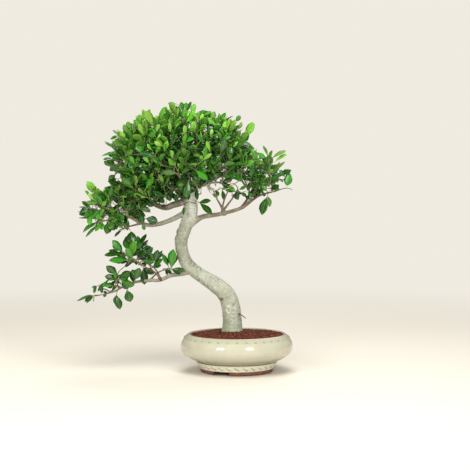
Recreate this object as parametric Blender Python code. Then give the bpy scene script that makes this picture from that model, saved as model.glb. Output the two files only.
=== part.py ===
"""A ficus bonsai in a round glazed pot, as separate closed solids. Metres, +Z up.

The plant is one grown piece of wood (roots, trunk and branches) and a set of leafy shoots.
Every shoot starts GAP beyond the end of its own twig. The pot holds the soil, and each of
its two drainage holes has a mesh screen held by a bent wire.
All lengths below are measured from the pot's axis and from the surface the pot stands on.
"""

import math
import random

import bmesh
import bpy
import numpy as np
from mathutils import Matrix, Vector
from mathutils.bvhtree import BVHTree

# ---------------------------------------------------------------- driving dimensions
GAP = 0.0003                 # clearance between pieces that touch
POT_AXIS_X = 0.1248          # with POT_AXIS_Y, puts the middle of the whole object over the origin
POT_AXIS_Y = 0.0060

POT_SEGMENTS = 48
FOOT_OUTER = 0.083
FOOT_INNER = 0.073
FLOOR_UNDER_Z = 0.009
FLOOR_TOP_Z = 0.016
FLOOR_RADIUS = 0.080
LIP_OUTER = 0.1135
LIP_INNER = 0.1075
RIM_Z = 0.0870

FOOT_NOTCH_COUNT = 3
FOOT_NOTCH_FIRST = math.radians(-115.5)   # direction of the first notch, from +X
FOOT_NOTCH_WIDTH = 0.040
FOOT_NOTCH_HEIGHT = 0.0068

DRAIN_RADIUS = 0.010
DRAIN_OFFSET = 0.040
SCREEN_SIDE = 0.028
SCREEN_THICK = 0.001
SCREEN_HOLES = 3
CLIP_WIRE = 0.0012
CLIP_SPAN = 0.016
CLIP_FOOT = 0.006

SOIL_EDGE_Z = 0.0845
SOIL_MOUND = 0.006

LEAF_LENGTH = 0.040
LEAF_WIDTH = 0.019
LEAF_THICK = 0.0012
LEAVES_PER_SHOOT = 7
SHOOT_BARE = 0.013
SHOOT_STEP = 0.0055
SHOOT_RADIUS = 0.0016
SHOOT_SIDES = 5
TWIG_NECK = 0.005            # straight end of a twig, in line with its shoot
TWIG_LEAST = 0.018
THINNEST_BEARER = 0.0016     # radii of the wood that new twigs may start from
THICKEST_BEARER = 0.0135
LOWEST_TWIG = 0.17
SHOOT_BACK = 0.045           # from the middle of a shoot back to its base
SHOOT_BOW = 0.005
SHOOT_TRIES = 14
LEAF_TRIES = 6
STALK_WIDTH = 0.004
SEED = 11

# ---------------------------------------------------------------- colours
GLAZE_CREAM = (0.79, 0.76, 0.60)
SOIL_RED_BROWN = (0.133, 0.050, 0.031)
BARK_GREY_GREEN = (0.49, 0.48, 0.35)
LEAF_GREEN = (0.075, 0.165, 0.030)
SCREEN_BLACK = (0.020, 0.022, 0.020)
WIRE_GREY = (0.45, 0.45, 0.44)

# ---------------------------------------------------------------- routes of the wood
# Each route is a list of (x, y, z, diameter).
TRUNK_ROUTE = [
    (-0.011, 0.020, 0.056, 0.036), (-0.011, 0.020, 0.072, 0.050), (-0.011, 0.020, 0.092, 0.0475),
    (-0.0115, 0.020, 0.120, 0.0440), (-0.0155, 0.019, 0.152, 0.0435), (-0.0255, 0.017, 0.177, 0.0415),
    (-0.0480, 0.013, 0.197, 0.0380), (-0.0845, 0.009, 0.2212, 0.0310), (-0.1125, 0.006, 0.245, 0.0305),
    (-0.1250, 0.003, 0.274, 0.0275), (-0.1275, 0.001, 0.303, 0.0300), (-0.1185, 0.000, 0.331, 0.0300),
    (-0.1065, 0.000, 0.360, 0.0315), (-0.1050, 0.000, 0.387, 0.0290), (-0.1100, 0.002, 0.4176, 0.0230),
    (-0.1190, 0.004, 0.455, 0.0175), (-0.1270, 0.004, 0.500, 0.0120), (-0.1230, 0.002, 0.545, 0.0075),
]
BRANCH_ROUTES = {
    "lower_left": [
        (-0.100, 0.006, 0.232, 0.012), (-0.1379, 0.002, 0.2246, 0.0095),
        (-0.1700, -0.004, 0.2095, 0.0085),
        (-0.2086, -0.008, 0.2071, 0.0075), (-0.2500, -0.006, 0.1930, 0.0055),
        (-0.2720, -0.004, 0.1855, 0.0040),
    ],
    "lower_left_riser": [
        (-0.1838, -0.006, 0.2085, 0.006), (-0.2010, -0.016, 0.2260, 0.0050),
        (-0.2240, -0.022, 0.2470, 0.0035),
    ],
    "lower_left_back": [
        (-0.1700, -0.004, 0.2095, 0.006), (-0.1950, 0.024, 0.2250, 0.0045),
        (-0.2200, 0.038, 0.2330, 0.0035),
    ],
    "middle_left": [
        (-0.1100, 0.000, 0.3700, 0.013), (-0.1554, -0.010, 0.3467, 0.0110),
        (-0.1960, -0.018, 0.3370, 0.0095),
        (-0.2260, -0.020, 0.3460, 0.0075), (-0.2560, -0.016, 0.3620, 0.0045),
    ],
    "upper_left": [
        (-0.1050, 0.000, 0.3950, 0.015), (-0.1432, 0.010, 0.3839, 0.0150),
        (-0.1700, 0.022, 0.3770, 0.0130),
        (-0.2120, 0.034, 0.3945, 0.0090), (-0.2560, 0.040, 0.4220, 0.0045),
    ],
    "right": [
        (-0.1080, 0.000, 0.3380, 0.015), (-0.0782, 0.000, 0.3557, 0.0120),
        (-0.0359, -0.006, 0.3628, 0.0095),
        (0.0112, -0.010, 0.3769, 0.0080), (0.0491, -0.006, 0.4031, 0.0055),
        (0.0900, 0.002, 0.4150, 0.0035),
    ],
    "right_riser": [
        (-0.0295, -0.006, 0.3640, 0.0075), (-0.0330, -0.026, 0.3900, 0.0060),
        (-0.0200, -0.050, 0.4200, 0.0040),
    ],
    "right_back": [
        (0.0105, -0.010, 0.3760, 0.0070), (0.0260, 0.020, 0.4000, 0.0050),
        (0.0300, 0.048, 0.4250, 0.0035),
    ],
    "back": [
        (-0.1050, 0.002, 0.4000, 0.013), (-0.0960, 0.040, 0.4250, 0.0100),
        (-0.1050, 0.085, 0.4500, 0.0050),
    ],
    "front": [
        (-0.1120, 0.002, 0.4250, 0.011), (-0.1250, -0.036, 0.4450, 0.0085),
        (-0.1400, -0.080, 0.4600, 0.0045),
    ],
    "crown_left": [
        (-0.1170, 0.004, 0.4450, 0.010), (-0.1650, 0.006, 0.4700, 0.0080),
        (-0.2200, 0.004, 0.4950, 0.0045),
    ],
    "crown_right": [
        (-0.1200, 0.004, 0.4600, 0.010), (-0.0750, 0.000, 0.4900, 0.0075),
        (-0.0250, 0.004, 0.5150, 0.0040),
    ],
}
PRUNED_STUB = [(-0.024, 0.010, 0.166, 0.010), (-0.042, -0.002, 0.170, 0.0075)]
DRY_TWIG = [(0.000, 0.006, 0.139, 0.004), (0.0145, -0.004, 0.1315, 0.0022)]
ROOT_COUNT = 5
ROOT_REACH = 0.062
# share of the reach, height and diameter along each main root
ROOT_SHAPE = [(0.12, 0.074, 0.017), (0.45, 0.064, 0.012), (0.75, 0.051, 0.008), (1.0, 0.040, 0.005)]

# Foliage masses: (name, centre, half sizes, point that its shoots fan out from, shoots).
LEAF_MASSES = [
    ("crown", (-0.136, 0.000, 0.502), (0.128, 0.122, 0.086), (-0.120, 0.000, 0.400), 22),
    ("right_pad", (0.050, 0.000, 0.452), (0.042, 0.066, 0.030), (-0.010, 0.000, 0.370), 5),
    ("left_pad", (-0.275, 0.000, 0.385), (0.050, 0.064, 0.030), (-0.175, 0.000, 0.350), 5),
    ("low_cluster", (-0.230, 0.000, 0.258), (0.030, 0.040, 0.012), (-0.180, 0.000, 0.200), 3),
    ("near_trunk_cluster", (-0.160, 0.010, 0.242), (0.006, 0.026, 0.006), (-0.160, 0.000, 0.205), 1),
    ("tip_cluster", (-0.325, 0.000, 0.198), (0.012, 0.026, 0.014), (-0.262, 0.000, 0.180), 2),
]


# ---------------------------------------------------------------- helpers
def clear_scene():
    for thing in list(bpy.data.objects):
        bpy.data.objects.remove(thing, do_unlink=True)


def principled(name, colour, roughness, metallic=0.0):
    material = bpy.data.materials.new(name)
    material.use_nodes = True
    shader = material.node_tree.nodes["Principled BSDF"]
    shader.inputs["Base Color"].default_value = (*colour, 1.0)
    shader.inputs["Roughness"].default_value = roughness
    shader.inputs["Metallic"].default_value = metallic
    material.diffuse_color = (*colour, 1.0)
    return material


def add_object(name, bm, material, parent):
    """Turns a bmesh into a named object, with its faces pointing out."""
    bmesh.ops.recalc_face_normals(bm, faces=bm.faces)
    if bm.calc_volume(signed=True) < 0:
        bmesh.ops.reverse_faces(bm, faces=bm.faces)
    mesh = bpy.data.meshes.new(name)
    bm.to_mesh(mesh)
    bm.free()
    mesh.materials.append(material)
    thing = bpy.data.objects.new(name, mesh)
    bpy.context.scene.collection.objects.link(thing)
    thing.parent = parent
    return thing


def turned_bmesh(profile, segments):
    """Spins a profile of (radius, z) points about the Z axis and welds its seam and poles."""
    bm = bmesh.new()
    ring = [bm.verts.new((radius, 0.0, z)) for radius, z in profile]
    edges = [bm.edges.new(pair) for pair in zip(ring, ring[1:])]
    bmesh.ops.spin(
        bm, geom=ring + edges, axis=(0, 0, 1), cent=(0, 0, 0), angle=2 * math.pi, steps=segments
    )
    bmesh.ops.remove_doubles(bm, verts=bm.verts, dist=1e-6)
    return bm


def combine(target, tool, operation):
    """Cuts one object with another, or joins the two, and removes the second one."""
    tool.hide_render = True
    tool.display_type = "WIRE"
    modifier = target.modifiers.new("combine", "BOOLEAN")
    modifier.operation = operation
    modifier.solver = "EXACT"
    modifier.object = tool
    bpy.context.view_layer.update()
    evaluated = target.evaluated_get(bpy.context.evaluated_depsgraph_get())
    mesh = bpy.data.meshes.new_from_object(evaluated)
    target.modifiers.clear()
    target.data = mesh
    bpy.data.objects.remove(tool, do_unlink=True)


def volume_of(thing):
    bm = bmesh.new()
    bm.from_mesh(thing.data)
    volume = bm.calc_volume()
    bm.free()
    return volume


def smooth_route(route, spacing):
    """Points and radii along a Catmull-Rom curve through a route, about one per spacing."""
    knots = [np.array(point, float) for point in route]
    knots = [2 * knots[0] - knots[1]] + knots + [2 * knots[-1] - knots[-2]]
    samples = []
    for i in range(1, len(knots) - 2):
        before, start, end, after = knots[i - 1:i + 3]
        pieces = max(1, round(np.linalg.norm(end[:3] - start[:3]) / spacing))
        for t in np.arange(pieces) / pieces:
            bend = (2 * before - 5 * start + 4 * end - after) * t ** 2
            bend += (3 * start - before - 3 * end + after) * t ** 3
            samples.append(0.5 * (2 * start + (end - before) * t + bend))
    samples.append(knots[-2])
    samples = np.array(samples)
    return samples[:, :3], samples[:, 3] / 2


def frames_along(points):
    """Side and up vectors at each point, carried along the curve without twisting."""
    tangents = np.gradient(points, axis=0)
    tangents /= np.linalg.norm(tangents, axis=1)[:, None]
    side = np.cross(tangents[0], (0.31, 0.87, 0.12))
    sides = []
    for tangent in tangents:
        side = side - tangent * np.dot(side, tangent)
        side = side / np.linalg.norm(side)
        sides.append(side)
    sides = np.array(sides)
    return tangents, sides, np.cross(tangents, sides)


def tube_solid(points, radii, sides_count):
    """A closed tube with flat ends, as corner points and faces."""
    _, sides, ups = frames_along(points)
    turns = [2 * math.pi * k / sides_count for k in range(sides_count)]
    spots = []
    for point, radius, side, up in zip(points, radii, sides, ups):
        spots += [Vector(point + radius * (math.cos(a) * side + math.sin(a) * up)) for a in turns]
    faces = [list(range(sides_count))[::-1]]
    for ring in range(0, len(spots) - sides_count, sides_count):
        for k in range(sides_count):
            after = (k + 1) % sides_count
            faces.append([ring + k, ring + after, ring + sides_count + after, ring + sides_count + k])
    faces.append(list(range(len(spots) - sides_count, len(spots))))
    return spots, faces


def add_solid(bm, spots, faces):
    """Adds corner points and faces to a bmesh; returns the new vertices in order."""
    verts = [bm.verts.new(spot) for spot in spots]
    for face in faces:
        bm.faces.new([verts[k] for k in face])
    return verts


class Room:
    """Remembers the surfaces already placed and tells whether a new solid is clear of them."""

    def __init__(self):
        self.trees = []

    def add(self, spots, faces):
        spots = [Vector(spot) for spot in spots]
        low = [min(spot[i] for spot in spots) for i in range(3)]
        high = [max(spot[i] for spot in spots) for i in range(3)]
        self.trees.append((low, high, BVHTree.FromPolygons(spots, faces)))

    def add_object(self, thing):
        mesh = thing.data
        self.add([vert.co for vert in mesh.vertices], [list(face.vertices) for face in mesh.polygons])

    def is_clear(self, spots, faces):
        low = [min(spot[i] for spot in spots) for i in range(3)]
        high = [max(spot[i] for spot in spots) for i in range(3)]
        probe = BVHTree.FromPolygons(spots, faces)
        for other_low, other_high, tree in self.trees:
            apart = any(low[i] > other_high[i] or high[i] < other_low[i] for i in range(3))
            if not apart and probe.overlap(tree):
                return False
        return True


# ---------------------------------------------------------------- pot, screens, clips and soil
def inner_wall():
    """The pot's inside from the middle of its floor to its lip, as (radius, z) points."""
    return [
        (0.0, FLOOR_TOP_Z), (FLOOR_RADIUS, FLOOR_TOP_Z), (0.1000, 0.0290), (0.1165, 0.0425),
        (0.1235, 0.0560), (0.1195, 0.0695), (LIP_INNER, SOIL_EDGE_Z),
    ]


def pot_profile():
    """The pot's whole cross-section: down its outside, across its foot, and up its inside."""
    outside = [
        (LIP_INNER, RIM_Z - 0.0010), (0.1100, RIM_Z), (LIP_OUTER, 0.0855), (0.1210, 0.0794),
        (0.1270, 0.0705), (0.1300, 0.0580), (0.1272, 0.0470), (0.1150, 0.0345), (0.0940, 0.0213),
        (0.0895, 0.0195), (0.0940, 0.0183), (0.0845, 0.0070), (FOOT_OUTER, 0.0),
    ]
    under = [(FOOT_INNER, 0.0), (FOOT_INNER - 0.002, FLOOR_UNDER_Z), (0.0, FLOOR_UNDER_Z)]
    return list(reversed(inner_wall())), outside, under


def foot_notch(angle):
    """A rounded bar across the foot ring, which leaves one notch in it."""
    bm = bmesh.new()
    half = FOOT_NOTCH_WIDTH / 2
    arch = [(-half, -0.002), (half, -0.002), (half, FOOT_NOTCH_HEIGHT * 0.45)]
    arch += [(half * 0.72, FOOT_NOTCH_HEIGHT), (-half * 0.72, FOOT_NOTCH_HEIGHT)]
    arch += [(-half, FOOT_NOTCH_HEIGHT * 0.45)]
    face = bm.faces.new([bm.verts.new((0.060, y, z)) for y, z in arch])
    sweep = bmesh.ops.extrude_face_region(bm, geom=[face])["geom"]
    moved = [part for part in sweep if isinstance(part, bmesh.types.BMVert)]
    bmesh.ops.translate(bm, vec=(0.045, 0.0, 0.0), verts=moved)
    bmesh.ops.rotate(bm, cent=(0, 0, 0), matrix=Matrix.Rotation(angle, 3, "Z"), verts=bm.verts)
    return bm


def drill(x):
    bm = bmesh.new()
    place = Matrix.Translation((x, 0.0, (FLOOR_UNDER_Z + FLOOR_TOP_Z) / 2))
    bmesh.ops.create_cone(
        bm, cap_ends=True, segments=20, radius1=DRAIN_RADIUS, radius2=DRAIN_RADIUS,
        depth=FLOOR_TOP_Z, matrix=place,
    )
    return bm


def build_pot(parent):
    glaze = principled("cream_glaze", GLAZE_CREAM, 0.18)
    inside, outside, under = pot_profile()
    closed = list(reversed(inside)) + outside + under
    pot = add_object("pot", turned_bmesh(closed, POT_SEGMENTS), glaze, parent)
    for k in range(FOOT_NOTCH_COUNT):
        angle = FOOT_NOTCH_FIRST + 2 * math.pi * k / FOOT_NOTCH_COUNT
        combine(pot, add_object("foot_notch", foot_notch(angle), glaze, parent), "DIFFERENCE")
    for x in (-DRAIN_OFFSET, DRAIN_OFFSET):
        combine(pot, add_object("drill", drill(x), glaze, parent), "DIFFERENCE")
    pot.data.shade_smooth()
    pot.data.set_sharp_from_angle(angle=math.radians(35))
    return pot


def build_screen(name, x, parent):
    """A flat square mesh: a grid with every second cell open, thickened upward."""
    cells = 2 * SCREEN_HOLES + 1
    bm = bmesh.new()
    floor = FLOOR_TOP_Z + GAP
    place = Matrix.Translation((x, 0.0, floor))
    bmesh.ops.create_grid(bm, x_segments=cells, y_segments=cells, size=SCREEN_SIDE / 2, matrix=place)
    step = SCREEN_SIDE / cells
    corner = Vector((x - SCREEN_SIDE / 2, -SCREEN_SIDE / 2, floor))
    open_cells = []
    for face in bm.faces:
        spot = (face.calc_center_median() - corner) / step
        if int(spot.x) % 2 and int(spot.y) % 2:
            open_cells.append(face)
    bmesh.ops.delete(bm, geom=open_cells, context="FACES")
    sheet = bm.faces[:]
    lifted = bmesh.ops.extrude_face_region(bm, geom=sheet, use_keep_orig=True)["geom"]
    moved = [part for part in lifted if isinstance(part, bmesh.types.BMVert)]
    bmesh.ops.translate(bm, vec=(0, 0, SCREEN_THICK), verts=moved)
    return add_object(name, bm, principled("screen_plastic", SCREEN_BLACK, 0.55), parent)


def build_clip(name, x, parent):
    """A bent wire: over the screen, down through its holes and out under the pot's floor."""
    half = CLIP_SPAN / 2
    radius = CLIP_WIRE / 2
    top = FLOOR_TOP_Z + SCREEN_THICK + 2 * GAP + radius
    low = FLOOR_UNDER_Z - GAP - radius
    turn = 1.6 * radius
    right = [(0.0, top), (half - turn, top), (half, top - turn), (half, low + turn)]
    right += [(half + turn, low), (half + CLIP_FOOT, low)]
    left = [(-u, z) for u, z in reversed(right[1:])]
    path = [Vector((x + u, 0.0, z)) for u, z in left + right]
    bm = bmesh.new()
    add_solid(bm, *tube_solid(np.array(path), [radius] * len(path), 6))
    return add_object(name, bm, principled("clip_wire", WIRE_GREY, 0.40, 1.0), parent)


def soil_profile():
    """The soil's outline: the inside of the pot drawn in by GAP, closed by a mounded top."""
    wall = inner_wall()
    outline = [(0.0, FLOOR_TOP_Z + GAP)]
    for before, here, after in zip(wall, wall[1:], wall[2:] + [wall[-1]]):
        along = Vector(after) - Vector(before)
        inward = Vector((-along.y, along.x)).normalized()
        reach = 2.0 * GAP if here != wall[-1] else 1.2 * GAP
        outline.append((here[0] + inward.x * reach, here[1] + inward.y * reach))
    edge = outline[-1][0]
    for share in (0.8, 0.6, 0.4, 0.2, 0.0):
        height = SOIL_MOUND * 0.5 * (1 + math.cos(math.pi * share))
        outline.append((edge * share, SOIL_EDGE_Z + height))
    return outline


def build_soil(parent, rooted):
    """The soil, hollowed where the roots, the screens and the clips are."""
    earth = principled("granular_soil", SOIL_RED_BROWN, 0.92)
    soil = add_object("soil", turned_bmesh(soil_profile(), POT_SEGMENTS), earth, parent)
    side = SCREEN_SIDE + 4 * GAP
    height = 2 * (SCREEN_THICK + CLIP_WIRE + 3 * GAP)
    for x in (-DRAIN_OFFSET, DRAIN_OFFSET):
        bm = bmesh.new()
        scale = Matrix.Diagonal((side, side, height, 1.0))
        bmesh.ops.create_cube(bm, size=1.0, matrix=Matrix.Translation((x, 0.0, FLOOR_TOP_Z)) @ scale)
        combine(soil, add_object("screen_recess", bm, earth, parent), "DIFFERENCE")
    for points, radii, sides in rooted:
        bm = bmesh.new()
        along = (points[-1] - points[-2]) / np.linalg.norm(points[-1] - points[-2])
        back = (points[0] - points[1]) / np.linalg.norm(points[0] - points[1])
        longer = points.copy()
        longer[-1] += along * GAP
        longer[0] += back * GAP
        add_solid(bm, *tube_solid(longer, np.array(radii) + 1.15 * GAP, sides))
        combine(soil, add_object("root_hole", bm, earth, parent), "DIFFERENCE")
    return soil


# ---------------------------------------------------------------- the wood
def root_route(k):
    """One main root: out from under the trunk and down into the soil."""
    angle = 2 * math.pi * (k + 0.35) / ROOT_COUNT
    x, y = TRUNK_ROUTE[1][0], TRUNK_ROUTE[1][1]
    reach = ROOT_REACH * (0.92 + 0.08 * math.cos(2.3 * k))
    route = []
    for share, z, diameter in ROOT_SHAPE:
        turned = angle + 0.16 * math.sin(3 * share + k)
        away = share * reach
        route.append((x + away * math.cos(turned), y + away * math.sin(turned), z, diameter))
    return route


def main_limbs():
    """Every limb that has a route of its own, as (points, radii, sides)."""
    limbs = [(*smooth_route(TRUNK_ROUTE, 0.018), 12)]
    limbs += [(*smooth_route(route, 0.024), 6) for route in BRANCH_ROUTES.values()]
    return limbs


def buried_limbs():
    return [(*smooth_route(root_route(k), 0.02), 6) for k in range(ROOT_COUNT)]


def plan_shoots(limbs, rng):
    """Finds a place for every shoot, and the twig that bears it.

    Inside each foliage mass the places are spread by taking, of several random ones, the one
    farthest from the shoots already placed. A place is used only if the shoot's own twig is
    clear of the wood and of the other shoots, and if its bearing twig is clear of those shoots.
    """
    wood, taken = Room(), Room()
    for limb in limbs:
        wood.add(*tube_solid(*limb))
    twigs, shoots, spots = list(limbs), [], []
    for name, centre, half, heart, count in LEAF_MASSES:
        for _ in range(count):
            tries = []
            while len(tries) < SHOOT_TRIES:
                spot = Vector([rng.uniform(-1, 1) for _ in range(3)])
                if spot.length <= 1:
                    tries.append(Vector(centre) + spot * Vector(half))
            tries.sort(key=lambda spot: -min([(spot - other).length for other in spots] or [0.0]))
            for spot in tries:
                direction = (spot - Vector(heart)).normalized()
                base = spot - direction * SHOOT_BACK
                twig = bearing_twig(twigs, base, direction)
                route = shoot_route(base + direction * GAP, direction, rng)
                own = tube_solid(*route, SHOOT_SIDES)
                if twig is None or not taken.is_clear(*tube_solid(*twig)):
                    continue
                if wood.is_clear(*own) and taken.is_clear(*own):
                    break
            else:
                print("no place for a shoot in", name)
                continue
            spots.append(spot)
            twigs.append(twig)
            wood.add(*tube_solid(*twig))
            taken.add(*own)
            shoots.append((name, *route))
    return twigs[len(limbs):], shoots


def bearing_twig(limbs, base, direction):
    """A twig from the best nearby point of the wood to the base of a shoot.

    The best point is near, lies behind the shoot, and lets the twig leave its limb forward.
    """
    best = None
    for points, radii, _ in limbs:
        for i in range(1, len(points)):
            if not THINNEST_BEARER < radii[i] < THICKEST_BEARER or points[i][2] < LOWEST_TWIG:
                continue
            reach = Vector(base) - Vector(points[i])
            if reach.length < TWIG_LEAST:
                continue
            lean = reach.normalized().dot(direction)
            along = Vector(points[i] - points[i - 1]).normalized()
            turn = max(0.0, 0.3 - reach.normalized().dot(along))
            cost = reach.length * (1.0 + 0.7 * (1 - lean) + 0.6 * turn)
            if best is None or cost < best[0]:
                best = (cost, Vector(points[i]) - along * TWIG_NECK, radii[i], along)
    if best is None:
        return None
    _, start, radius, along = best
    neck = base - direction * TWIG_NECK
    length = (neck - start).length
    first = start + (along * 0.25 + direction * 0.10) * length
    second = neck - direction * length * 0.35
    thick = min(0.7 * radius, 0.0018 + 0.010 * length)
    pieces = max(2, round(length / 0.020))
    points, radii = [], []
    for k in range(pieces + 1):
        t = k / pieces
        spot = (1 - t) ** 3 * start + 3 * (1 - t) ** 2 * t * first
        spot += 3 * (1 - t) * t ** 2 * second + t ** 3 * neck
        points.append(np.array(spot))
        radii.append(thick + (SHOOT_RADIUS - thick) * t)
    points.append(np.array(base))
    radii.append(SHOOT_RADIUS)
    return np.array(points), np.array(radii), SHOOT_SIDES


def build_trunk(parent, limbs):
    """Joins the trunk, the roots and all branches and twigs into one solid."""
    bark = principled("pale_bark", BARK_GREY_GREEN, 0.70)
    limb_objects = []
    for points, radii, sides in limbs:
        bm = bmesh.new()
        add_solid(bm, *tube_solid(points, radii, sides))
        limb_objects.append(add_object("limb", bm, bark, parent))
    trunk = limb_objects[0]
    trunk.name = "trunk"
    for limb in limb_objects[1:]:
        before = volume_of(trunk)
        combine(trunk, limb, "UNION")
        if volume_of(trunk) < before:
            raise RuntimeError("a limb could not be joined to the trunk")
    trunk.data.name = "trunk"
    trunk.data.shade_smooth()
    return trunk


# ---------------------------------------------------------------- the leafy shoots
def ring_of(centre, across, through, width, thick):
    """Four corners of a blade's cross-section."""
    wide = across * width / 2
    deep = through * thick / 2
    return [centre - wide - deep, centre + wide - deep, centre + wide + deep, centre - wide + deep]


def leaf_sections(root, outward, across, length, width, thick):
    """A leaf's two blade sections and its tip, drooping a little towards the tip."""
    through = outward.cross(across).normalized()
    first = root + outward * length * 0.30
    second = root + outward * length * 0.62 - through * length * 0.03
    tip = root + outward * length - through * length * 0.10
    inner = ring_of(first, across, through, 0.78 * width, thick)
    outer = ring_of(second, across, through, width, thick)
    return inner, outer, tip


def leaf_probe(root, outward, across, length, width, foot=None):
    """A leaf grown by GAP all round, for the clearance test.

    It is drawn from the ring `foot`, or, without one, from just outside the leaf's stalk.
    """
    grown = LEAF_THICK + 2.4 * GAP
    first, second, tip = leaf_sections(root, outward, across, length, width + 3 * GAP, grown)
    if foot is None:
        through = outward.cross(across).normalized()
        foot = ring_of(root + outward * 0.10 * length, across, through, STALK_WIDTH, grown)
    spots = foot + first + second + [tip + outward * 3 * GAP]
    faces = [(0, 1, 2, 3)]
    for base in (0, 4):
        faces += [(base + k, base + (k + 1) % 4, base + 4 + (k + 1) % 4, base + 4 + k) for k in range(4)]
    faces += [(8 + k, 8 + (k + 1) % 4, 12) for k in range(4)]
    return spots, faces


def shoot_route(base, direction, rng):
    """The gently bowed route of a shoot's own twig, with a point at each leaf's foot."""
    leafy = SHOOT_BARE + SHOOT_STEP * np.arange(LEAVES_PER_SHOOT + 1)
    steps = np.concatenate(([0.0], leafy))
    share = (steps / steps[-1])[:, None]
    side = Matrix.Rotation(rng.uniform(0, 2 * math.pi), 3, direction) @ direction.orthogonal().normalized()
    points = np.array(base) + np.array(direction) * steps[:, None] + np.array(side) * SHOOT_BOW * share ** 2
    return points, SHOOT_RADIUS * (1 - 0.45 * share[:, 0])


def build_shoot(name, points, radii, parent, leaf_material, rooms, rng):
    """One leafy shoot: a five-sided twig whose side faces are drawn out into leaves."""
    bm = bmesh.new()
    verts = add_solid(bm, *tube_solid(points, radii, SHOOT_SIDES))
    rings = [verts[k:k + SHOOT_SIDES] for k in range(0, len(verts), SHOOT_SIDES)]
    own = Room()
    for k in range(LEAVES_PER_SHOOT):
        lower, upper = rings[k + 1], rings[k + 2]
        face_side = (2 * k) % SHOOT_SIDES
        corners = [lower[face_side], lower[(face_side + 1) % SHOOT_SIDES]]
        corners += [upper[(face_side + 1) % SHOOT_SIDES], upper[face_side]]
        root = sum((vert.co for vert in corners), Vector()) / 4
        axis = Vector(points[k + 2] - points[k + 1]).normalized()
        normal = (root - Vector(points[k + 1] + points[k + 2]) / 2)
        normal = (normal - axis * normal.dot(axis)).normalized()
        across = axis.cross(normal).normalized()
        foot = [vert.co + (vert.co - root).normalized() * 2 * GAP for vert in corners]
        for _ in range(LEAF_TRIES):
            lean = math.radians(rng.uniform(46, 68))
            outward = (axis * math.cos(lean) + normal * math.sin(lean)).normalized()
            length = LEAF_LENGTH * rng.uniform(0.86, 1.12)
            width = LEAF_WIDTH * rng.uniform(0.88, 1.08)
            whole = leaf_probe(root, outward, across, length, width, foot)
            blade = leaf_probe(root, outward, across, length, width)
            if all(room.is_clear(*whole) for room in rooms) and own.is_clear(*blade):
                break
        else:
            continue
        own.add(*blade)
        first, second, tip = leaf_sections(root, outward, across, length, width, LEAF_THICK)
        draw_leaf(bm, corners, first, second, tip)
    end = Vector(points[-1])
    finish_tip(bm, rings[-1], end, (end - Vector(points[-2])).normalized(), rooms + [own])
    return add_object(name, bm, leaf_material, parent)


def draw_leaf(bm, corners, first, second, tip):
    """Replaces one side face of the twig with a leaf that grows out of it."""
    face = bm.faces.get(corners)
    bm.faces.remove(face)
    loops = [corners, [bm.verts.new(spot) for spot in first], [bm.verts.new(spot) for spot in second]]
    for inner, outer in zip(loops, loops[1:]):
        for k in range(4):
            after = (k + 1) % 4
            bm.faces.new((inner[k], inner[after], outer[after], outer[k]))
    point = bm.verts.new(tip)
    for k in range(4):
        bm.faces.new((loops[-1][k], loops[-1][(k + 1) % 4], point))


def finish_tip(bm, ring, centre, axis, rooms):
    """Draws the end of the twig out into one last leaf, where there is room for it."""
    across = axis.orthogonal().normalized()
    probe = leaf_probe(centre, axis, across, LEAF_LENGTH, LEAF_WIDTH)
    if not all(room.is_clear(*probe) for room in rooms):
        return
    through = axis.cross(across)
    bm.faces.remove(bm.faces.get(ring))
    previous = ring
    for share, width in ((0.30, 0.78), (0.62, 1.0)):
        here = []
        for vert in ring:
            offset = vert.co - centre
            flat = offset.normalized().dot(across) * width * LEAF_WIDTH / 2
            thick = offset.normalized().dot(through) * LEAF_THICK / 2
            here.append(bm.verts.new(centre + axis * share * LEAF_LENGTH + across * flat + through * thick))
        for k in range(SHOOT_SIDES):
            after = (k + 1) % SHOOT_SIDES
            bm.faces.new((previous[k], previous[after], here[after], here[k]))
        previous = here
    point = bm.verts.new(centre + axis * LEAF_LENGTH)
    for k in range(SHOOT_SIDES):
        bm.faces.new((previous[k], previous[(k + 1) % SHOOT_SIDES], point))


# ---------------------------------------------------------------- assembly
def build_bonsai():
    clear_scene()
    rng = random.Random(SEED)
    axis = bpy.data.objects.new("pot_axis", None)
    axis.location = (POT_AXIS_X, POT_AXIS_Y, 0.0)
    bpy.context.scene.collection.objects.link(axis)

    pot = build_pot(axis)
    for side, x in (("left", -DRAIN_OFFSET), ("right", DRAIN_OFFSET)):
        build_screen(f"drain_screen_{side}", x, axis)
        build_clip(f"screen_clip_{side}", x, axis)

    limbs = main_limbs()
    roots = buried_limbs()
    extras = [(*smooth_route(PRUNED_STUB, 0.01), 8), (*smooth_route(DRY_TWIG, 0.01), 5)]
    twigs, shoots = plan_shoots(limbs, rng)
    trunk = build_trunk(axis, limbs + twigs + roots + extras)
    build_soil(axis, [limbs[0]] + roots)

    room = Room()
    for thing in (trunk, pot):
        room.add_object(thing)
    leaf = principled("ficus_leaf", LEAF_GREEN, 0.35)
    for number, (name, points, radii) in enumerate(shoots, start=1):
        ahead = Room()
        for _, later, thick in shoots[number:]:
            ahead.add(*tube_solid(later, thick + GAP, SHOOT_SIDES))
        label = f"shoot_{name}_{number:02d}"
        room.add_object(build_shoot(label, points, radii, axis, leaf, [room, ahead], rng))


build_bonsai()
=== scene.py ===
# %% [markdown]
# # A ficus bonsai in a round cream pot
# The real object is a small fig tree trained into an S, growing in red-brown clay granules in a
# glazed drum-shaped bowl. The pot's axis is read from the imported CAD model, and everything below
# is placed around it; the numbers for the pot, the soil, the wood and each mass of leaves follow the
# CAD model's nodes, where they are and how large they are.
# %% Load the frame
import math

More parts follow.
